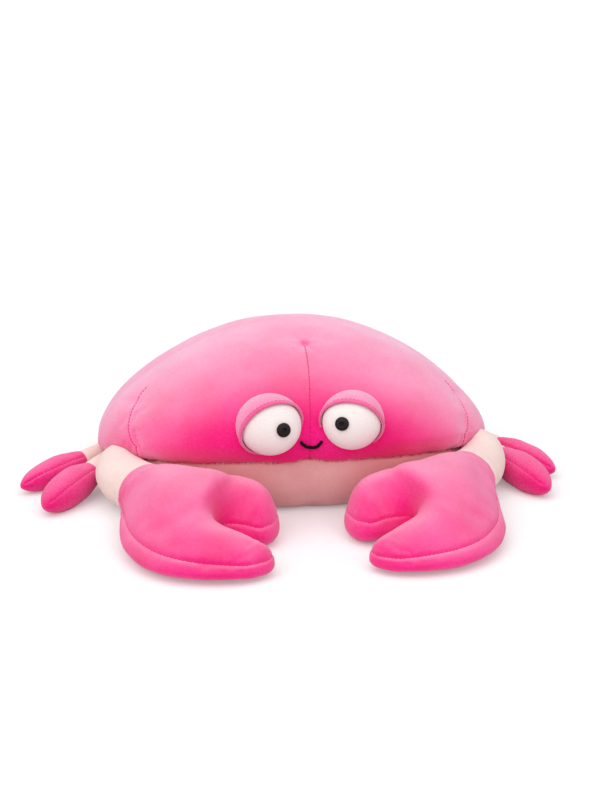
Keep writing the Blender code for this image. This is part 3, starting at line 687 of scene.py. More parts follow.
def stuffed(surface, held, cap):
    """Blows the surface up as cloth from inside, its seams held, and moves no point further than the cap."""
    mesh = surface.mesh()
    sack = bpy.data.objects.new("sack", mesh)
    bpy.context.scene.collection.objects.link(sack)
    sack.vertex_groups.new(name="held").add([int(index) for index in held], 1.0, "REPLACE")
    cloth = sack.modifiers.new("cloth", "CLOTH")
    settings = cloth.settings
    settings.quality = 6
    settings.mass = 0.2
    settings.use_pressure = True
    settings.uniform_pressure_force = CLOTH_PRESSURE
    settings.vertex_group_mass = "held"
    settings.shrink_min = CLOTH_SHRINK
    settings.effector_weights.gravity = 0
    cloth.collision_settings.use_collision = False
    cloth.collision_settings.use_self_collision = False
    for step in range(1, CLOTH_STEPS + 1):
        bpy.context.scene.frame_set(step)
    move = points_of(sack.evaluated_get(bpy.context.evaluated_depsgraph_get()).data) - surface.points
    bpy.context.scene.frame_set(1)
    bpy.data.objects.remove(sack)
    bpy.data.meshes.remove(mesh)
    length = np.linalg.norm(move, axis=1)
    move *= (cap * np.tanh(length / cap) / np.maximum(length, 1e-9))[:, None]
    return Surface(surface.points + move, surface.faces, surface.panels)


def stuff_body(surface):
    """Stuffs a coarser copy of the body as cloth, and moves the fine surface with it."""
    rings = (len(surface.points) - 2) // COLUMNS
    rows = sorted({*range(5, rings, 3), SEAM_ROW, rings - 1})
    around = list(range(0, COLUMNS, 3))
    width = len(around)
    chosen = [row * COLUMNS + column for row in rows for column in around]
    top, foot, last = len(chosen), len(chosen) + 1, len(chosen) - width
    faces = [face[::-1] for face in bands(len(rows), width)]
    for i in range(width):
        j = (i + 1) % width
        faces += [(i, j, top), (foot, last + j, last + i)]
    points = np.concatenate((surface.points[chosen], surface.points[-2:]))
    seam = rows.index(SEAM_ROW) * width
    held = {*range(seam, seam + width)}
    held |= {i for i, (x, y, z) in enumerate(points) if z < 0.0005 or math.hypot(x, y) < CROWN_HELD}
    for home, _, _ in DARTS.values():
        nearest = int(np.argmin([abs(column - dart_column(home)) for column in around]))
        held |= {i * width + nearest for i, row in enumerate(rows) if row > 0.62 * DOME_ROWS}
    coarse = stuffed(Surface(points, faces, np.zeros(len(faces))), sorted(held), BODY_CAP)
    moved = coarse.points - points
    tree = search_tree(points)
    shift = np.zeros_like(surface.points)
    for i, point in enumerate(surface.points):
        near = tree.find_n(point, 6)
        weights = np.array([1 / (distance + 0.0008) ** 2 for _, _, distance in near])
        shift[i] = (moved[[index for _, index, _ in near]] * weights[:, None]).sum(axis=0) / weights.sum()
    x, y, z = surface.points.T
    shift *= np.where(z > 0.03, eased(np.hypot(x, y) / CROWN_FADE), 1.0)[:, None]
    surface.points = surface.points + shift


# Stitches


def sew(name, surface, line, material, radius):
    """Short stitches along a line of the surface's points, a little aside of it by turns."""
    normals = surface.normals()[line]
    points = surface.points[line]
    run = np.concatenate(([0.0], np.cumsum(np.linalg.norm(np.diff(points, axis=0), axis=1))))

    def found(values, along):
        return np.array([np.interp(along, run, values[:, axis]) for axis in range(3)])

    stitches = []
    for i in range(int(run[-1] / STITCH_PITCH)):
        start = (i + 0.2 + 0.12 * noise.noise(Vector((i * 1.7, radius * 9000, 0.5)))) * STITCH_PITCH
        side = STITCH_ASIDE if i % 2 else -STITCH_ASIDE
        stitch = []
        for j in range(4):
            along = start + STITCH_LENGTH * j / 3
            here, out = found(points, along), found(normals, along)
            aside = np.cross(out, found(points, along + 0.0005) - here)
            aside /= max(1e-9, np.linalg.norm(aside))
            lift = radius * (0.55 if j in (1, 2) else -0.3)
            stitch.append(here + out * lift + aside * side * (1 - 2 * j / 3))
        stitches.append(stitch)
    threads(name, stitches, radius, material, 2)


def fuzz(name, surface, line, material, count):
    """Loose pile along a seam: short bent fibres that stand out of it and hang over its lower side."""
    chance = random.Random(SEED)
    normals = surface.normals()[line]
    points = surface.points[line]
    fibres = []
    for _ in range(count):
        i = chance.randrange(len(line) - 1)
        here = points[i] + (points[i + 1] - points[i]) * chance.random()
        out = normals[i] + np.array((chance.uniform(-0.5, 0.5), chance.uniform(-0.2, 0.2), chance.uniform(-0.9, 0.1)))
        out *= chance.uniform(0.0007, 0.0018) / np.linalg.norm(out)
        fibres.append([here + out * share - np.array((0, 0, FIBRE_DROOP * share**2)) for share in (0.0, 0.6, 1.0)])
    threads(name, fibres, FIBRE_RADIUS, material, 0)


# Body

PUCKER_REACH = 0.022
PIT_DEPTH, PIT_RADIUS = 0.0019, 0.0032
SPOKE_DEPTH, SPOKE_RADIUS = 0.0009, 0.0085


def pucker_top(surface, index):
    """A small dimple with creases running out of it, where the front dart's seam ends."""
    top = surface.points[index]
    apart = surface.points - top
    distance = np.linalg.norm(apart, axis=1)
    near = np.flatnonzero(distance < PUCKER_REACH)
    turn = np.arctan2(apart[near, 1], apart[near, 0])
    spokes = 0.5 + 0.5 * np.cos(6 * turn + 0.9 * np.sin(2 * turn))
    pit = PIT_DEPTH * np.exp(-((distance[near] / PIT_RADIUS) ** 2))
    creases = SPOKE_DEPTH * spokes * np.exp(-((distance[near] / SPOKE_RADIUS) ** 2))
    creases *= np.clip(distance[near] / 0.003, 0, 1)
    surface.points[near] -= surface.normals()[near] * (pit + creases)[:, None]


def make_body():
    surface = body_surface()
    seam = in_order(surface.borders(CARAPACE, BELLY))
    seam += seam[:1]
    stuff_body(surface)
    pull_seams(surface, [seam], *BODY_SEAM, 1)
    lumps = wobble(surface.points, 2, (0.055, 0.0009), (0.020, 0.0003))
    surface.swell(lumps * np.clip(surface.points[:, 2] / 0.03, 0, 1))
    surface.settle()
    pucker_top(surface, dart_row(FRONT_DART_TOP) * COLUMNS)
    for name, (home, _, top) in DARTS.items():
        line = [row * COLUMNS + dart_column(home) for row in range(dart_row(top), SEAM_ROW)]
        sew(f"{name}_stitches", surface, line, HOT_THREAD, 0.00030)
    fuzz("seam_fuzz", surface, seam, HOT_PINK, 1600)
    smooth_object("carapace_velour", panel_mesh(surface, CARAPACE), CARAPACE_PINK, "carapace")
    smooth_object("shaded_belly_velour", panel_mesh(surface, BELLY), SHADED_BELLY_PINK, "belly")
    stuffing("body", surface)
    return surface


# Trimming against the body


def depths(points, tree):
    """The height of each point over the body, its nearest point there, and the way out of the body there."""
    heights, nearest, outward = [], [], []
    for point in points:
        place, normal, _, _ = tree.find_nearest(Vector(point))
        heights.append((Vector(point) - place).dot(normal))
        nearest.append(place)
        outward.append(normal)
    return np.array(heights), np.array(nearest), np.array(outward)


def press_off(surface, tree, panels):
    """Moves the points of these panels out of the body, to a gap from it."""
    own = np.zeros(len(surface.points), bool)
    others = np.zeros(len(surface.points), bool)
    for face, panel in zip(surface.faces, surface.panels):
        (own if panel in panels else others)[list(face)] = True
    chosen = np.flatnonzero(own & ~others)
    heights, nearest, outward = depths(surface.points[chosen], tree)
    low = heights < PRESS_GAP
    surface.points[chosen[low]] = nearest[low] + outward[low] * PRESS_GAP


def trim(surface, tree):
    """Drops the faces inside the body and lays the edge that is left on it."""
    heights, nearest, outward = depths(surface.points, tree)
    inside = heights < SEWN_GAP
    kept = [i for i, face in enumerate(surface.faces) if not all(inside[index] for index in face)]
    kept = largest_part(surface.faces, kept)
    faces = [surface.faces[i] for i in kept]
    used = np.unique([index for face in faces for index in face])
    place = np.full(len(surface.points), -1)
    place[used] = range(len(used))
    points = surface.points.copy()
    points[inside] = nearest[inside] + outward[inside] * SEWN_GAP
    return Surface(points[used], [tuple(int(place[i]) for i in face) for face in faces], surface.panels[kept])


def largest_part(faces, chosen):
    """The largest set of the chosen faces that hang together by their edges."""
    owners = edge_owners(faces, chosen)
    best, unseen = [], set(chosen)
    while unseen:
        waiting = [unseen.pop()]
        found = list(waiting)
        while waiting:
            for a, b in sides(faces[waiting.pop()]):
                fresh = unseen.intersection(owners[(min(a, b), max(a, b))])
                unseen -= fresh
                waiting += fresh
                found += fresh
        if len(found) > len(best):
            best = found
    return sorted(best)


def capped(surface, tree, rings=4):
    """The trimmed surface closed with a cap that follows the body."""
    onward = {}
    for a, b in open_edges(surface.faces):
        onward.setdefault(b, []).append(a)
    loop = [min(onward)]
    while onward[loop[-1]]:
        ahead = onward[loop[-1]].pop()
        if ahead == loop[0]:
            break
        loop.append(ahead)
    rim = surface.points[loop]
    middle = rim.mean(axis=0)
    guesses = [mix(point, middle, ring / rings) for ring in range(1, rings) for point in rim]
    _, nearest, outward = depths([*guesses, middle], tree)
    points = np.concatenate((surface.points, nearest + outward * SEWN_GAP))
    order = loop + list(range(len(surface.points), len(points)))
    cap = bands(rings, len(loop)) + fan((rings - 1) * len(loop), len(loop), rings * len(loop))
    faces = surface.faces + [tuple(order[i] for i in face) for face in cap]
    return Surface(points, faces, np.concatenate((surface.panels, np.full(len(cap), CAP))))


def mirrored(surface):
    points = surface.points * (-1, 1, 1)
    return Surface(points, [tuple(reversed(face)) for face in surface.faces], surface.panels.copy())


# Claws, each with its arm

CLAW_LENGTH = 0.110
CLAW_WIDTH = 0.114
CLAW_SEAM_REAR = 0.0175
CLAW_SEAM_FRONT = 0.0120
CLAW_RISE = 0.0390
CLAW_SINK = 0.0200
CLAW_SWELL = 0.0030
SWELL_HEIGHT = 0.0035
# Where the bottom panel hardly swells, its widest line rises to this share of the seam's height
SWELL_HEIGHT_LEAST = 0.6
SWELL_FULL = 0.35
PRESS_GAP = 0.0010
WRIST_FROM_SIDE = 0.029
WRIST_BEHIND_FRONT = 0.023
WRIST_HEIGHT = 0.0210
ARM_RADIUS = 0.0215
ELBOW_OUT = 0.0150
ARM_REACH = 0.0580
ARM_RISE = 0.0110
CLAW_TOP, CLAW_BOTTOM, ARM_SLEEVE, ARM_ROOT, CAP = range(5)
CLAW_SEAMS = ((CLAW_TOP, CLAW_BOTTOM), (CLAW_TOP, ARM_SLEEVE), (CLAW_BOTTOM, ARM_SLEEVE))
CLAW_LEVELS = 4
# The outline from the palm's outer corner round to its inner one, with the notch at 0.385, 0.52: each point's places
# along and forward, its share of the swell, and the number of the crest point that it faces
CLAW_OUTLINE = (
    (-0.165, 0.36, 0.1, 0), (-0.13, 0.67, 0.4, 1), (0.02, 0.92, 0.8, 2), (0.28, 1.025, 0.9, 3), (0.53, 1.035, 0.9, 4),
    (0.70, 1.00, 0.7, 4), (0.81, 0.925, 0.3, 4), (0.775, 0.835, 0.2, 4), (0.67, 0.745, 0.1, 4), (0.55, 0.655, 0.1, 3),
    (0.385, 0.52, 0.0, 2), (0.56, 0.58, 0.1, 6), (0.68, 0.63, 0.1, 7), (0.79, 0.605, 0.3, 7), (0.88, 0.49, 0.3, 7),
    (0.88, 0.32, 0.3, 7), (0.785, 0.155, 0.2, 7), (0.58, 0.055, 0.1, 6), (0.34, -0.03, 0.0, 5),
)
# Along and forward of each crest point, and its share of the rise: five on the front finger, three on the rear one
CLAW_CREST = (
    (0.07, 0.27, 0.97), (0.15, 0.56, 1.0), (0.36, 0.79, 0.93), (0.56, 0.875, 0.68), (0.70, 0.90, 0.45),
    (0.40, 0.27, 0.95), (0.60, 0.345, 1.04), (0.75, 0.40, 0.96),
)
PALM_FACES = ((0, 1, 2, 5), (2, 6, 5))
# From the wrist forward each claw leans as in the photograph: its shift, and how much it draws in to a line of x
CLAW_LEANS = {"left": (0.0, 0.037, -0.032), "right": (-0.0022, 0.036, 0.035)}
LEAN_START = -0.105
LEAN_FULL = 0.040
ARM_STATIONS = (
    (-0.40, -0.02, 0.0, 0.98), (0.62, 0.27, 0.1, 1.0), (0.87, 0.57, 0.30, 1.0), (0.3, 0.84, 0.25, 0.80),
    (-1.7, 1.0, 0.15, 0.55),
)
PALM_MIDDLE = (0.12, 0.36)
RING_TURNS = tuple(math.radians(turn) for turn in (180, 120, 60, 0, -60, -120))


def wrist():
    return Vector((-(BODY_HALF_WIDTH - WRIST_FROM_SIDE), -(BODY_FRONT - WRIST_BEHIND_FRONT), WRIST_HEIGHT))


def claw_seam_height(forward):
    return mix(CLAW_SEAM_REAR, CLAW_SEAM_FRONT, min(1.0, max(0.0, forward)))


def claw_point(along, forward, rise=0.0):
    middle = wrist()
    return Vector((
        middle.x + CLAW_LENGTH * along, middle.y - CLAW_WIDTH * forward, claw_seam_height(forward) + rise
    ))


def arm_rings():
    middles = [
        wrist() + Vector((-ELBOW_OUT * out, ARM_REACH * back, ARM_RISE * up)) for out, back, up, _ in ARM_STATIONS
    ]
    rings = []
    for i, middle in enumerate(middles):
        before = middles[i - 1] if i else claw_point(*PALM_MIDDLE)
        after = middles[min(i + 1, len(middles) - 1)]
        ahead = (before - after).xy.normalized()
        radius = ARM_RADIUS * ARM_STATIONS[i][3]
        inner = Vector((-ahead.y, ahead.x, 0)) * radius
        above = Vector((0, 0, radius))
        rings.append([middle + inner * math.cos(turn) + above * math.sin(turn) for turn in RING_TURNS])
    return rings


def swell_ring(cage, seam):
    """The widest points of the bottom panel, one for each of the outline: outside the seam and under it."""
    ring = []
    for (_, _, swell, _), before, here, after in zip(CLAW_OUTLINE, seam, seam[1:], seam[2:]):
        along = (after.co - before.co).xy.normalized()
        point = here.co + Vector((along.y, -along.x, 0)) * CLAW_SWELL * swell
        point.z = mix(SWELL_HEIGHT_LEAST * here.co.z, SWELL_HEIGHT, min(1.0, swell / SWELL_FULL))
        ring.append(cage.verts.new(point))
    return ring


def claw_cage():
    """The coarse shape of the left claw and arm, its faces numbered by panel."""
    cage = bmesh.new()
    outline = [cage.verts.new(claw_point(along, forward)) for along, forward, _, _ in CLAW_OUTLINE]
    rings = [[cage.verts.new(point) for point in ring] for ring in arm_rings()]
    outer, top_outer, top_inner, inner, low_inner, low_outer = rings[0]
    swell = swell_ring(cage, [outer, *outline, inner])
    for panel, rise, edge, near, far in (
        (CLAW_TOP, CLAW_RISE, outline, top_outer, top_inner),
        (CLAW_BOTTOM, -CLAW_SINK, swell, low_outer, low_inner),
    ):
        crest = [cage.verts.new(claw_point(along, forward, rise * share)) for along, forward, share in CLAW_CREST]
        faces = [[crest[i] for i in face] for face in PALM_FACES]
        faces += [
            [outer, outline[0], edge[0], crest[0], near], [near, crest[0], crest[5], far],
            [far, crest[5], edge[-1], outline[-1], inner],
        ]
        for i in range(len(outline) - 1):
            facing = [crest[CLAW_OUTLINE[i + 1][3]], crest[CLAW_OUTLINE[i][3]]]
            faces += [[edge[i], edge[i + 1], *facing], [outline[i], outline[i + 1], edge[i + 1], edge[i]]]
        for face in faces:
            corners = list(dict.fromkeys(face))
            if len(corners) > 2:
                cage.faces.new(corners).material_index = panel
    for near, far in zip(rings, rings[1:]):
        for i in range(len(near)):
            cage.faces.new((near[i], near[i - 1], far[i - 1], far[i])).material_index = ARM_SLEEVE
    cage.faces.new(rings[-1]).material_index = ARM_ROOT
    bmesh.ops.recalc_face_normals(cage, faces=cage.faces)
    return to_mesh(cage)


def to_mesh(shape):
    """The mesh of a bmesh, which goes."""
    mesh = bpy.data.meshes.new("shape")
    shape.to_mesh(mesh)
    shape.free()
    return mesh


def from_mesh(mesh):
    """The surface of a mesh, which goes."""
    faces = [tuple(face.vertices) for face in mesh.polygons]
    surface = Surface(points_of(mesh), faces, np.array([face.material_index for face in mesh.polygons]))
    bpy.data.meshes.remove(mesh)
    return surface


def rounded(mesh, levels):
    """The surface of a cage after that many levels of subdivision."""
    guide = bpy.data.objects.new("guide", mesh)
    bpy.context.scene.collection.objects.link(guide)
    smoothing = guide.modifiers.new("rounded", "SUBSURF")
    smoothing.levels = smoothing.render_levels = levels
    bpy.context.view_layer.update()
    fine = bpy.data.meshes.new_from_object(guide.evaluated_get(bpy.context.evaluated_depsgraph_get()))
    bpy.data.objects.remove(guide)
    return from_mesh(fine)


def fit_claw(surface, side):
    shift, draw, line = CLAW_LEANS[side]
    x, y = surface.points[:, 0], surface.points[:, 1]
    surface.points[:, 0] = x + (shift + draw * (line - x)) * eased((LEAN_START - y) / LEAN_FULL)


def make_claws(tree):
    left = rounded(claw_cage(), CLAW_LEVELS - 1)
    held = np.concatenate([left.borders(*pair) for pair in (*CLAW_SEAMS, (ARM_SLEEVE, ARM_ROOT))])
    left = rounded(stuffed(left, np.unique(held), CLAW_CAP).mesh(), 1)
    right = mirrored(left)
    for side, surface, seed in (("left", left, 11), ("right", right, 23)):
        fit_claw(surface, side)
        seams = [in_order(surface.borders(*pair)) for pair in CLAW_SEAMS]
        surface.swell(0.0006)
        pull_seams(surface, seams, *CLAW_SEAM, seed)
        surface.swell(wobble(surface.points, seed, (0.030, 0.0009), (0.012, 0.0003)))
        press_off(surface, tree, (CLAW_TOP, CLAW_BOTTOM))
        surface.settle()
        sew(f"{side}_claw_stitches", surface, seams[0], HOT_THREAD, 0.00018)
        trimmed = trim(surface, tree)
        for panel, word, material in (
            (CLAW_TOP, "claw_top", HOT_PINK), (CLAW_BOTTOM, "claw_bottom", HOT_PINK),
            (ARM_SLEEVE, "arm_sleeve", PALE_PINK),
        ):
            smooth_object(f"{side}_{word}_velour", panel_mesh(trimmed, panel), material, f"{side}_{word}")
        stuffing(f"{side}_claw", capped(trimmed, tree))


# Legs

REAR_LEG_RADIUS = 0.0104
FRONT_LEG_RADIUS = 0.0130
LEG_ROOT_HEIGHT = 0.0165
# The height of a leg's tip, as a share of its radius
LEG_TIP_REST = 0.66
LEG_TUCK = 0.0160
SLEEVE_LENGTH = 0.0170
REAR_PAD_LENGTH = 0.0520
FRONT_PAD_LENGTH = 0.0540
SLEEVE_DROP = 0.35
# The turns of a leg's root, sleeve and pad, the part of its sleeve that is sewn in, its pad's length and radius
LEG_POSES = {
    "left_rear_leg": (-1, 27, 38, 0.0, REAR_PAD_LENGTH, REAR_LEG_RADIUS),
    "left_front_leg": (9, 38, 60, 0.0, FRONT_PAD_LENGTH, FRONT_LEG_RADIUS),
    "right_rear_leg": (0, 30, 52, 0.3, REAR_PAD_LENGTH, REAR_LEG_RADIUS),
    "right_front_leg": (9, 41, 70, 0.0, FRONT_PAD_LENGTH, FRONT_LEG_RADIUS),
}
LEG_STATIONS = ((0.08, 0.76), (0.40, 0.70), (0.48, 0.83), (0.59, 0.99), (0.72, 1.0))
LEG_COVER, LEG_SLEEVE, LEG_ROOT = range(3)
LEG_SIDES, LEG_ROWS = 64, 78
LEG_TIP_ROWS = 34
LEG_SEAM_SHARE = 0.40
LEG_SEAM = 24
LEG_SEAM_ROWS = LEG_ROWS - 9


def leg_path(root, bend, tip, share):
    return root * (1 - share) ** 2 + bend * 2 * share * (1 - share) + tip * share**2


def leg_girth(share):
    """The leg's girth along it: a smooth line through the stations, then the tapered tip."""
    shares, girths = np.transpose(LEG_STATIONS)
    if share > shares[-1]:
        return max(0.0, 1 - ((share - shares[-1]) / (1 - shares[-1])) ** 2) ** 0.60
    slopes = [0.0, *((girths[2:] - girths[:-2]) / (shares[2:] - shares[:-2])), 0.0]
    i = max(0, min(len(shares) - 2, int(np.searchsorted(shares, share)) - 1))
    span = shares[i + 1] - shares[i]
    t = (share - shares[i]) / span
    return (
        girths[i] * (2 * t**3 - 3 * t**2 + 1) + slopes[i] * span * (t**3 - 2 * t**2 + t)
        + girths[i + 1] * (3 * t**2 - 2 * t**3) + slopes[i + 1] * span * (t**3 - t**2)
    )


def leg_surface(root_turn, sleeve_turn, pad_turn, sewn_in, pad_length, pad_radius):
    """A left leg, with its turns in degrees from straight out to the left, towards the front."""
    root_turn, sleeve_turn, pad_turn = (math.pi + math.radians(turn) for turn in (root_turn, sleeve_turn, pad_turn))
    root = Vector(at(root_turn, plan_radius(root_turn) - LEG_TUCK, LEG_ROOT_HEIGHT))
    bend = root + Vector(at(sleeve_turn, LEG_TUCK + SLEEVE_LENGTH * (1 - sewn_in), 0))
    tip = bend + Vector(at(pad_turn, pad_length, 0))
    tip.z = LEG_TIP_REST * pad_radius
    bend.z = mix(LEG_ROOT_HEIGHT, tip.z, SLEEVE_DROP)
    first, last = LEG_STATIONS[0][0], LEG_STATIONS[-1][0]
    shares = list(np.linspace(first, last, LEG_ROWS - LEG_TIP_ROWS, endpoint=False))
    shares += [mix(last, 1.0, math.sin(math.pi / 2 * i / LEG_TIP_ROWS)) for i in range(LEG_TIP_ROWS)]
    points = []
    for share in shares:
        middle = leg_path(root, bend, tip, share)
        ahead = (leg_path(root, bend, tip, share + 0.02) - middle).normalized()
        across = ahead.cross(Vector((0, 0, 1))).normalized()
        above = across.cross(ahead)
        radius = pad_radius * leg_girth(share)
        for i in range(LEG_SIDES):
            turn = math.tau * i / LEG_SIDES
            points.append(middle + (across * math.cos(turn) + above * math.sin(turn)) * radius)
    count = len(points)
    points += [tip, leg_path(root, bend, tip, first)]
    faces = bands(len(shares), LEG_SIDES) + fan(count - LEG_SIDES, LEG_SIDES, count)
    faces = [face[::-1] for face in faces] + fan(0, LEG_SIDES, count + 1)
    panels = [LEG_SLEEVE if share < LEG_SEAM_SHARE else LEG_COVER for share in shares] + [LEG_ROOT]
    return Surface(np.array(points), faces, np.repeat(panels, LEG_SIDES))


def make_legs(tree):
    for number, (name, pose) in enumerate(LEG_POSES.items()):
        surface = leg_surface(*pose)
        if name.startswith("right"):
            surface = mirrored(surface)
        cuff = in_order(surface.borders(LEG_COVER, LEG_SLEEVE))
        rows = [row * LEG_SIDES + LEG_SEAM for row in range(LEG_SEAM_ROWS) if row * LEG_SIDES > cuff[0]]
        seams = [cuff + cuff[:1], rows, [index - LEG_SIDES // 2 + 1 for index in rows]]
        pull_seams(surface, seams, *LEG_COVER_SEAM, 31 + number)
        surface.swell(wobble(surface.points, 41 + number, (0.014, 0.0005)))
        surface.settle()
        sew(f"{name}_stitches", surface, rows, HOT_THREAD, 0.00026)
        surface = trim(surface, tree)
        smooth_object(f"{name}_velour", panel_mesh(surface, LEG_COVER), LEG_PINK, f"{name}_cover")
        smooth_object(f"{name}_cuff", panel_mesh(surface, LEG_SLEEVE), PALE_PINK, f"{name}_sleeve")
        stuffing(name, capped(surface, tree))


# Eyes

EYE_HALF_WIDTH = 0.0215
EYE_HALF_HEIGHT = 0.0204
EYE_HALF_DEPTH = 0.0145
EYE_SPACING = 0.0570
EYE_HEIGHT = 0.0735
EYE_PROUD = 0.006
EYE_LOOK_UP = math.radians(20.0)
EYE_LOOK_OUT = math.radians(7.0)
LID_TILT = math.radians(50)
LID_DROP = 0.0032
LID_ROLL_LEFT = math.radians(35)
LID_ROLL_RIGHT = math.radians(25)
LID_THICKNESS = 0.0015
LID_STANDS_OFF = 0.0020
HEM_DEPTH = 0.0028
HEM_ROLL = 0.0005
HEM_PROUD = 0.0007
PUPIL_RADIUS = 0.0050
PUPIL_DOME = 0.0028
PUPIL_DIMPLE = 0.0017
# By side: how far each eye is sewn aside and up from its even place, and its size
EYE_SHIFTS = {-1: (0.0011, -0.0009, 1.0), 1: (0.0010, 0.0, 0.965)}
PUPIL_PLACES = {-1: (0.0095, -0.0026), 1: (-0.0105, -0.0010)}
SHANK_RADIUS = 0.0016
SHANK_LENGTH = 0.0085
WASHER_RADIUS = 0.0048
WASHER_THICKNESS = 0.0012
WASHER_SAG = 0.0004


def eye_frame(side, tree):
    aside, up, _ = EYE_SHIFTS[side]
    start = Vector((side * EYE_SPACING / 2 + aside, -2 * BODY_FRONT, EYE_HEIGHT + up))
    hit = tree.ray_cast(start, Vector((0, 1, 0)))[0]
    turn = Matrix.Rotation(side * EYE_LOOK_OUT, 4, "Z") @ Matrix.Rotation(-EYE_LOOK_UP, 4, "X")
    return Matrix.Translation(hit - Vector((0, EYE_PROUD, 0))) @ turn @ Matrix.Scale(EYE_SHIFTS[side][2], 4)


def ball_mesh(frame, growth):
    """The eyeball, larger by the growth, as a bmesh."""
    shape = bmesh.new()
    bmesh.ops.create_uvsphere(
        shape, u_segments=96, v_segments=56, radius=1, matrix=Matrix.Rotation(math.radians(90), 4, "X")
    )
    size = Matrix.Diagonal((EYE_HALF_WIDTH + growth, EYE_HALF_DEPTH + growth, EYE_HALF_HEIGHT + growth, 1))
    bmesh.ops.transform(shape, matrix=frame @ size, verts=shape.verts)
    return shape


def pupil_frame(frame, side):
    x, z = PUPIL_PLACES[side]
    y = -EYE_HALF_DEPTH * math.sqrt(1 - (x / EYE_HALF_WIDTH) ** 2 - (z / EYE_HALF_HEIGHT) ** 2)
    out = Vector((x / EYE_HALF_WIDTH**2, y / EYE_HALF_DEPTH**2, z / EYE_HALF_HEIGHT**2)).normalized()
    return frame @ Matrix.Translation((x, y, z)) @ out.to_track_quat("Z", "Y").to_matrix().to_4x4()


def lathe(profile, frame, sides=64):
    """A turned mesh: the profile, as radius and height, swept round the frame's Z axis."""
    shape = bmesh.new()
    loops = []
    for radius, height in profile:
        turns = [math.tau * i / sides for i in range(sides if radius else 1)]
        loops.append([shape.verts.new(frame @ Vector(at(turn, radius, height))) for turn in turns])
    for near, far in zip(loops, loops[1:]):
        for i in range(sides):
            j = (i + 1) % sides
            corners = [near[i % len(near)], near[j % len(near)], far[j % len(far)], far[i % len(far)]]
            face = list(dict.fromkeys(corners))
            if len(face) > 2:
                shape.faces.new(face)
    bmesh.ops.recalc_face_normals(shape, faces=shape.faces)
    return to_mesh(shape)


def softened(profile, steps=5):
    """The profile with more points, its corners rounded once."""
    finer = [profile[0]]
    for (r0, h0), (r1, h1) in zip(profile, profile[1:]):
        finer += [(mix(r0, r1, i / steps), mix(h0, h1, i / steps)) for i in range(1, steps + 1)]
    smooth = [finer[0]]
    for (r0, h0), (r1, h1), (r2, h2) in zip(finer, finer[1:], finer[2:]):
        smooth.append(((r0 + 2 * r1 + r2) / 4, (h0 + 2 * h1 + h2) / 4))
    return smooth + [finer[-1]]


def make_eyes(tree):
    for word, side in (("left", -1), ("right", 1)):
        frame_here = eye_frame(side, tree)
        on_ball = pupil_frame(frame_here, side)
        ball = trim(from_mesh(to_mesh(ball_mesh(frame_here, 0))), tree)
        smooth_object(f"{word}_eye_velour", panel_mesh(ball, 0), EYE_WHITE, f"{word}_eye_cover")
        stuffing(f"{word}_eye", capped(ball, tree))
        make_lid(word, side, frame_here, tree)
        flat = PUPIL_RADIUS
        bead = softened((
            (0, PUPIL_DOME - PUPIL_DIMPLE), (0.24 * flat, PUPIL_DOME - PUPIL_DIMPLE), (0.34 * flat, PUPIL_DOME),
            (0.78 * flat, 0.80 * PUPIL_DOME), (0.97 * flat, 0.42 * PUPIL_DOME), (flat, 0.2 * PUPIL_DOME),
            (0.95 * flat, 0.0), (SHANK_RADIUS, 0.0), (SHANK_RADIUS, -SHANK_LENGTH), (0, -SHANK_LENGTH),
        ))
        place = on_ball @ Matrix.Translation((0, 0, SEWN_GAP))
        smooth_object(f"{word}_pupil_bead", lathe(bead, place), BLACK_PLASTIC, f"{word}_pupil")
        hole = SHANK_RADIUS + SEWN_GAP
        seat = -(FABRIC + 0.0005 + WASHER_SAG)
        low = seat - WASHER_THICKNESS
        ring = ((hole, seat), (WASHER_RADIUS, seat), (WASHER_RADIUS, low), (hole, low), (hole, seat))
        smooth_object(f"{word}_lock_washer", lathe(ring, on_ball), WHITE_PLASTIC, f"{word}_pupil_washer")


def make_lid(word, side, frame_here, tree):
    """The lid: a cap of the eyeball with a folded, stitched hem along its edge."""
    roll = LID_ROLL_LEFT if side < 0 else LID_ROLL_RIGHT
    tilt = Matrix.Rotation(side * roll, 4, "Y") @ Matrix.Rotation(-LID_TILT, 4, "X")
    plane = frame_here @ tilt @ Matrix.Translation((0, 0, -LID_DROP))
    up = (plane.to_3x3() @ Vector((0, 0, 1))).normalized()
    shape = ball_mesh(frame_here, LID_STANDS_OFF)
    for height, cleared in ((0.0, True), (HEM_ROLL, False), (HEM_DEPTH - HEM_ROLL, False), (HEM_DEPTH, False)):
        bmesh.ops.bisect_plane(
            shape, geom=shape.verts[:] + shape.edges[:] + shape.faces[:], dist=0.00001,
            plane_co=plane.translation + up * height, plane_no=up, clear_inner=cleared,
        )
    middle = frame_here.translation
    for vertex in shape.verts:
        height = (vertex.co - plane.translation).dot(up)
        if height < HEM_DEPTH - 0.00005:
            round_off = min(1.0, (0.35 * HEM_ROLL + height) / HEM_ROLL, (HEM_DEPTH - height) / HEM_ROLL)
            vertex.co += (vertex.co - middle).normalized() * HEM_PROUD * round_off
    for face in shape.faces:
        height = (face.calc_center_median() - plane.translation).dot(up)
        face.material_index = 1 if height < HEM_DEPTH else 0
    lid = trim(from_mesh(to_mesh(shape)), tree)
    sew(f"{word}_lid_stitches", lid, in_order(lid.borders(0, 1)), LID_THREAD, 0.00030)
    hems = lid.panels == 1
    lid.panels = np.zeros(len(lid.faces), int)
    made = smooth_object(f"{word}_lid_velour", panel_mesh(lid, 0, LID_THICKNESS), LID_PINK, f"{word}_eye_lid")
    made.data.materials.append(LID_HEM)
    for face, hem in zip(made.data.polygons, hems):
        face.material_index = int(hem)


# Mouth

MOUTH_WIDTH = 0.0145
MOUTH_MIDDLE = 0.0010
MOUTH_HEIGHT = 0.0605
MOUTH_SAG = 0.0040
MOUTH_STEPS = 80
THREAD_RADIUS = 0.0009
PLIES, PLY_RADIUS, PLY_TWISTS = 3, 0.00062, 6


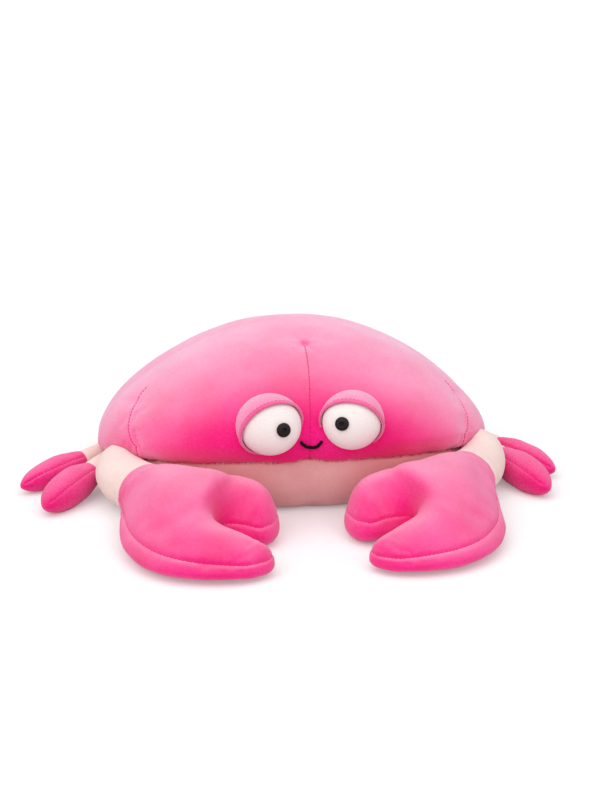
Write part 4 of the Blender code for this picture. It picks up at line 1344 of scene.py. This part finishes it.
def make_mouth(tree):
    path, out = [], []
    for i in range(MOUTH_STEPS + 1):
        share = 2 * i / MOUTH_STEPS - 1
        across = MOUTH_MIDDLE + MOUTH_WIDTH / 2 * share
        start = Vector((across, -2 * BODY_FRONT, MOUTH_HEIGHT - MOUTH_SAG * (1 - abs(share) ** 2.8)))
        hit, normal, _, _ = tree.ray_cast(start, Vector((0, 1, 0)))
        path.append(hit + normal * THREAD_RADIUS)
        out.append(normal)
    for ply in range(PLIES):
        points = []
        for i, (point, normal) in enumerate(zip(path, out)):
            ahead = (path[min(i + 1, MOUTH_STEPS)] - path[max(i - 1, 0)]).normalized()
            aside = ahead.cross(normal).normalized()
            turn = math.tau * (ply / PLIES + i / MOUTH_STEPS * PLY_TWISTS)
            points.append(point + (aside * math.cos(turn) + normal * math.sin(turn)) * 0.00055)
        threads(f"mouth_thread_{ply + 1}", [points], PLY_RADIUS, BLACK_THREAD, 3, "mouth")


# Camera, light and floor

# The camera's focal length and the picture's long side in pixels, its place round the aim, and the aim
FOCAL_LENGTH, LONG_SIDE, SENSOR = 1729, 800, 36
ELEVATION, AZIMUTH, DISTANCE = math.radians(20), math.radians(-6), 1.300
AIM = Vector((0.005, 0, 0.050))


def make_camera(scene):
    camera = bpy.data.cameras.new("camera")
    camera.lens = FOCAL_LENGTH / LONG_SIDE * SENSOR
    camera.sensor_width = SENSOR
    camera.clip_start = 0.05
    camera.clip_end = 60
    eye = bpy.data.objects.new("camera", camera)
    back = Vector(at(AZIMUTH + FRONT, math.cos(ELEVATION), math.sin(ELEVATION)))
    eye.location = AIM + back * DISTANCE
    eye.rotation_euler = (-back).to_track_quat("-Z", "Y").to_euler()
    scene.collection.objects.link(eye)
    scene.camera = eye


def choose(tree, chance, usual, other, output):
    """Shows the other shader where the chance is 1, and the usual one where it is 0."""
    chooser = node(tree, "MixShader", chance, usual, other)
    tree.links.new(chooser.outputs[0], tree.nodes[output].inputs["Surface"])


def make_stage():
    scene = bpy.context.scene
    make_camera(scene)
    scene.view_settings.view_transform = "Standard"
    world = bpy.data.worlds.new("studio")
    scene.world = world
    world.use_nodes = True
    tree = world.node_tree
    light = tree.nodes["Background"]
    light.inputs["Color"].default_value = (1, 1, 1, 1)
    light.inputs["Strength"].default_value = 0.44
    shown = node(tree, "Background", Color=(1, 1, 1, 1))
    path = node(tree, "LightPath").outputs
    seen = computed(tree, "MAXIMUM", path["Is Camera Ray"], path["Is Glossy Ray"])
    choose(tree, seen, light.outputs[0], shown.outputs[0], "World Output")

    for name, strength, spread, aim in (
        ("key", 1.48, 80, (0.12, 0.30, -1.0)),
        ("fill_left", 0.60, 60, (0.9, 0.7, -0.8)),
        ("fill_right", 0.45, 60, (-0.8, 0.9, -0.6)),
    ):
        lamp = bpy.data.lights.new(name, "SUN")
        lamp.energy = strength
        lamp.angle = math.radians(spread)
        holder = bpy.data.objects.new(name, lamp)
        holder.rotation_euler = Vector(aim).to_track_quat("-Z", "Y").to_euler()
        scene.collection.objects.link(holder)

    mesh = new_mesh(np.array([(-6, -6, 0), (6, -6, 0), (6, 6, 0), (-6, 6, 0)]), [(0, 1, 2, 3)])
    floor = bpy.data.objects.new("floor", mesh)
    floor.location.z = -0.0002
    scene.collection.objects.link(floor)
    paper, tree, principled = shader("floor_paper", (0.80, 0.80, 0.80), 1.0, Specular_IOR_Level=0.0)
    lift = node(tree, "Emission", Color=(1.0, 0.80, 0.82, 1), Strength=0.30)
    tinted = node(tree, "BsdfDiffuse", Color=(0.695, 0.785, 0.78, 1))
    added = node(tree, "AddShader", tinted.outputs[0], lift.outputs[0])
    seen = node(tree, "LightPath").outputs["Is Camera Ray"]
    choose(tree, seen, principled.outputs[0], added.outputs[0], "Material Output")
    mesh.materials.append(paper)


body = make_body()
body_tree = body.tree()
make_claws(body_tree)
make_legs(body_tree)
make_eyes(body_tree)
make_mouth(body_tree)
make_stage()
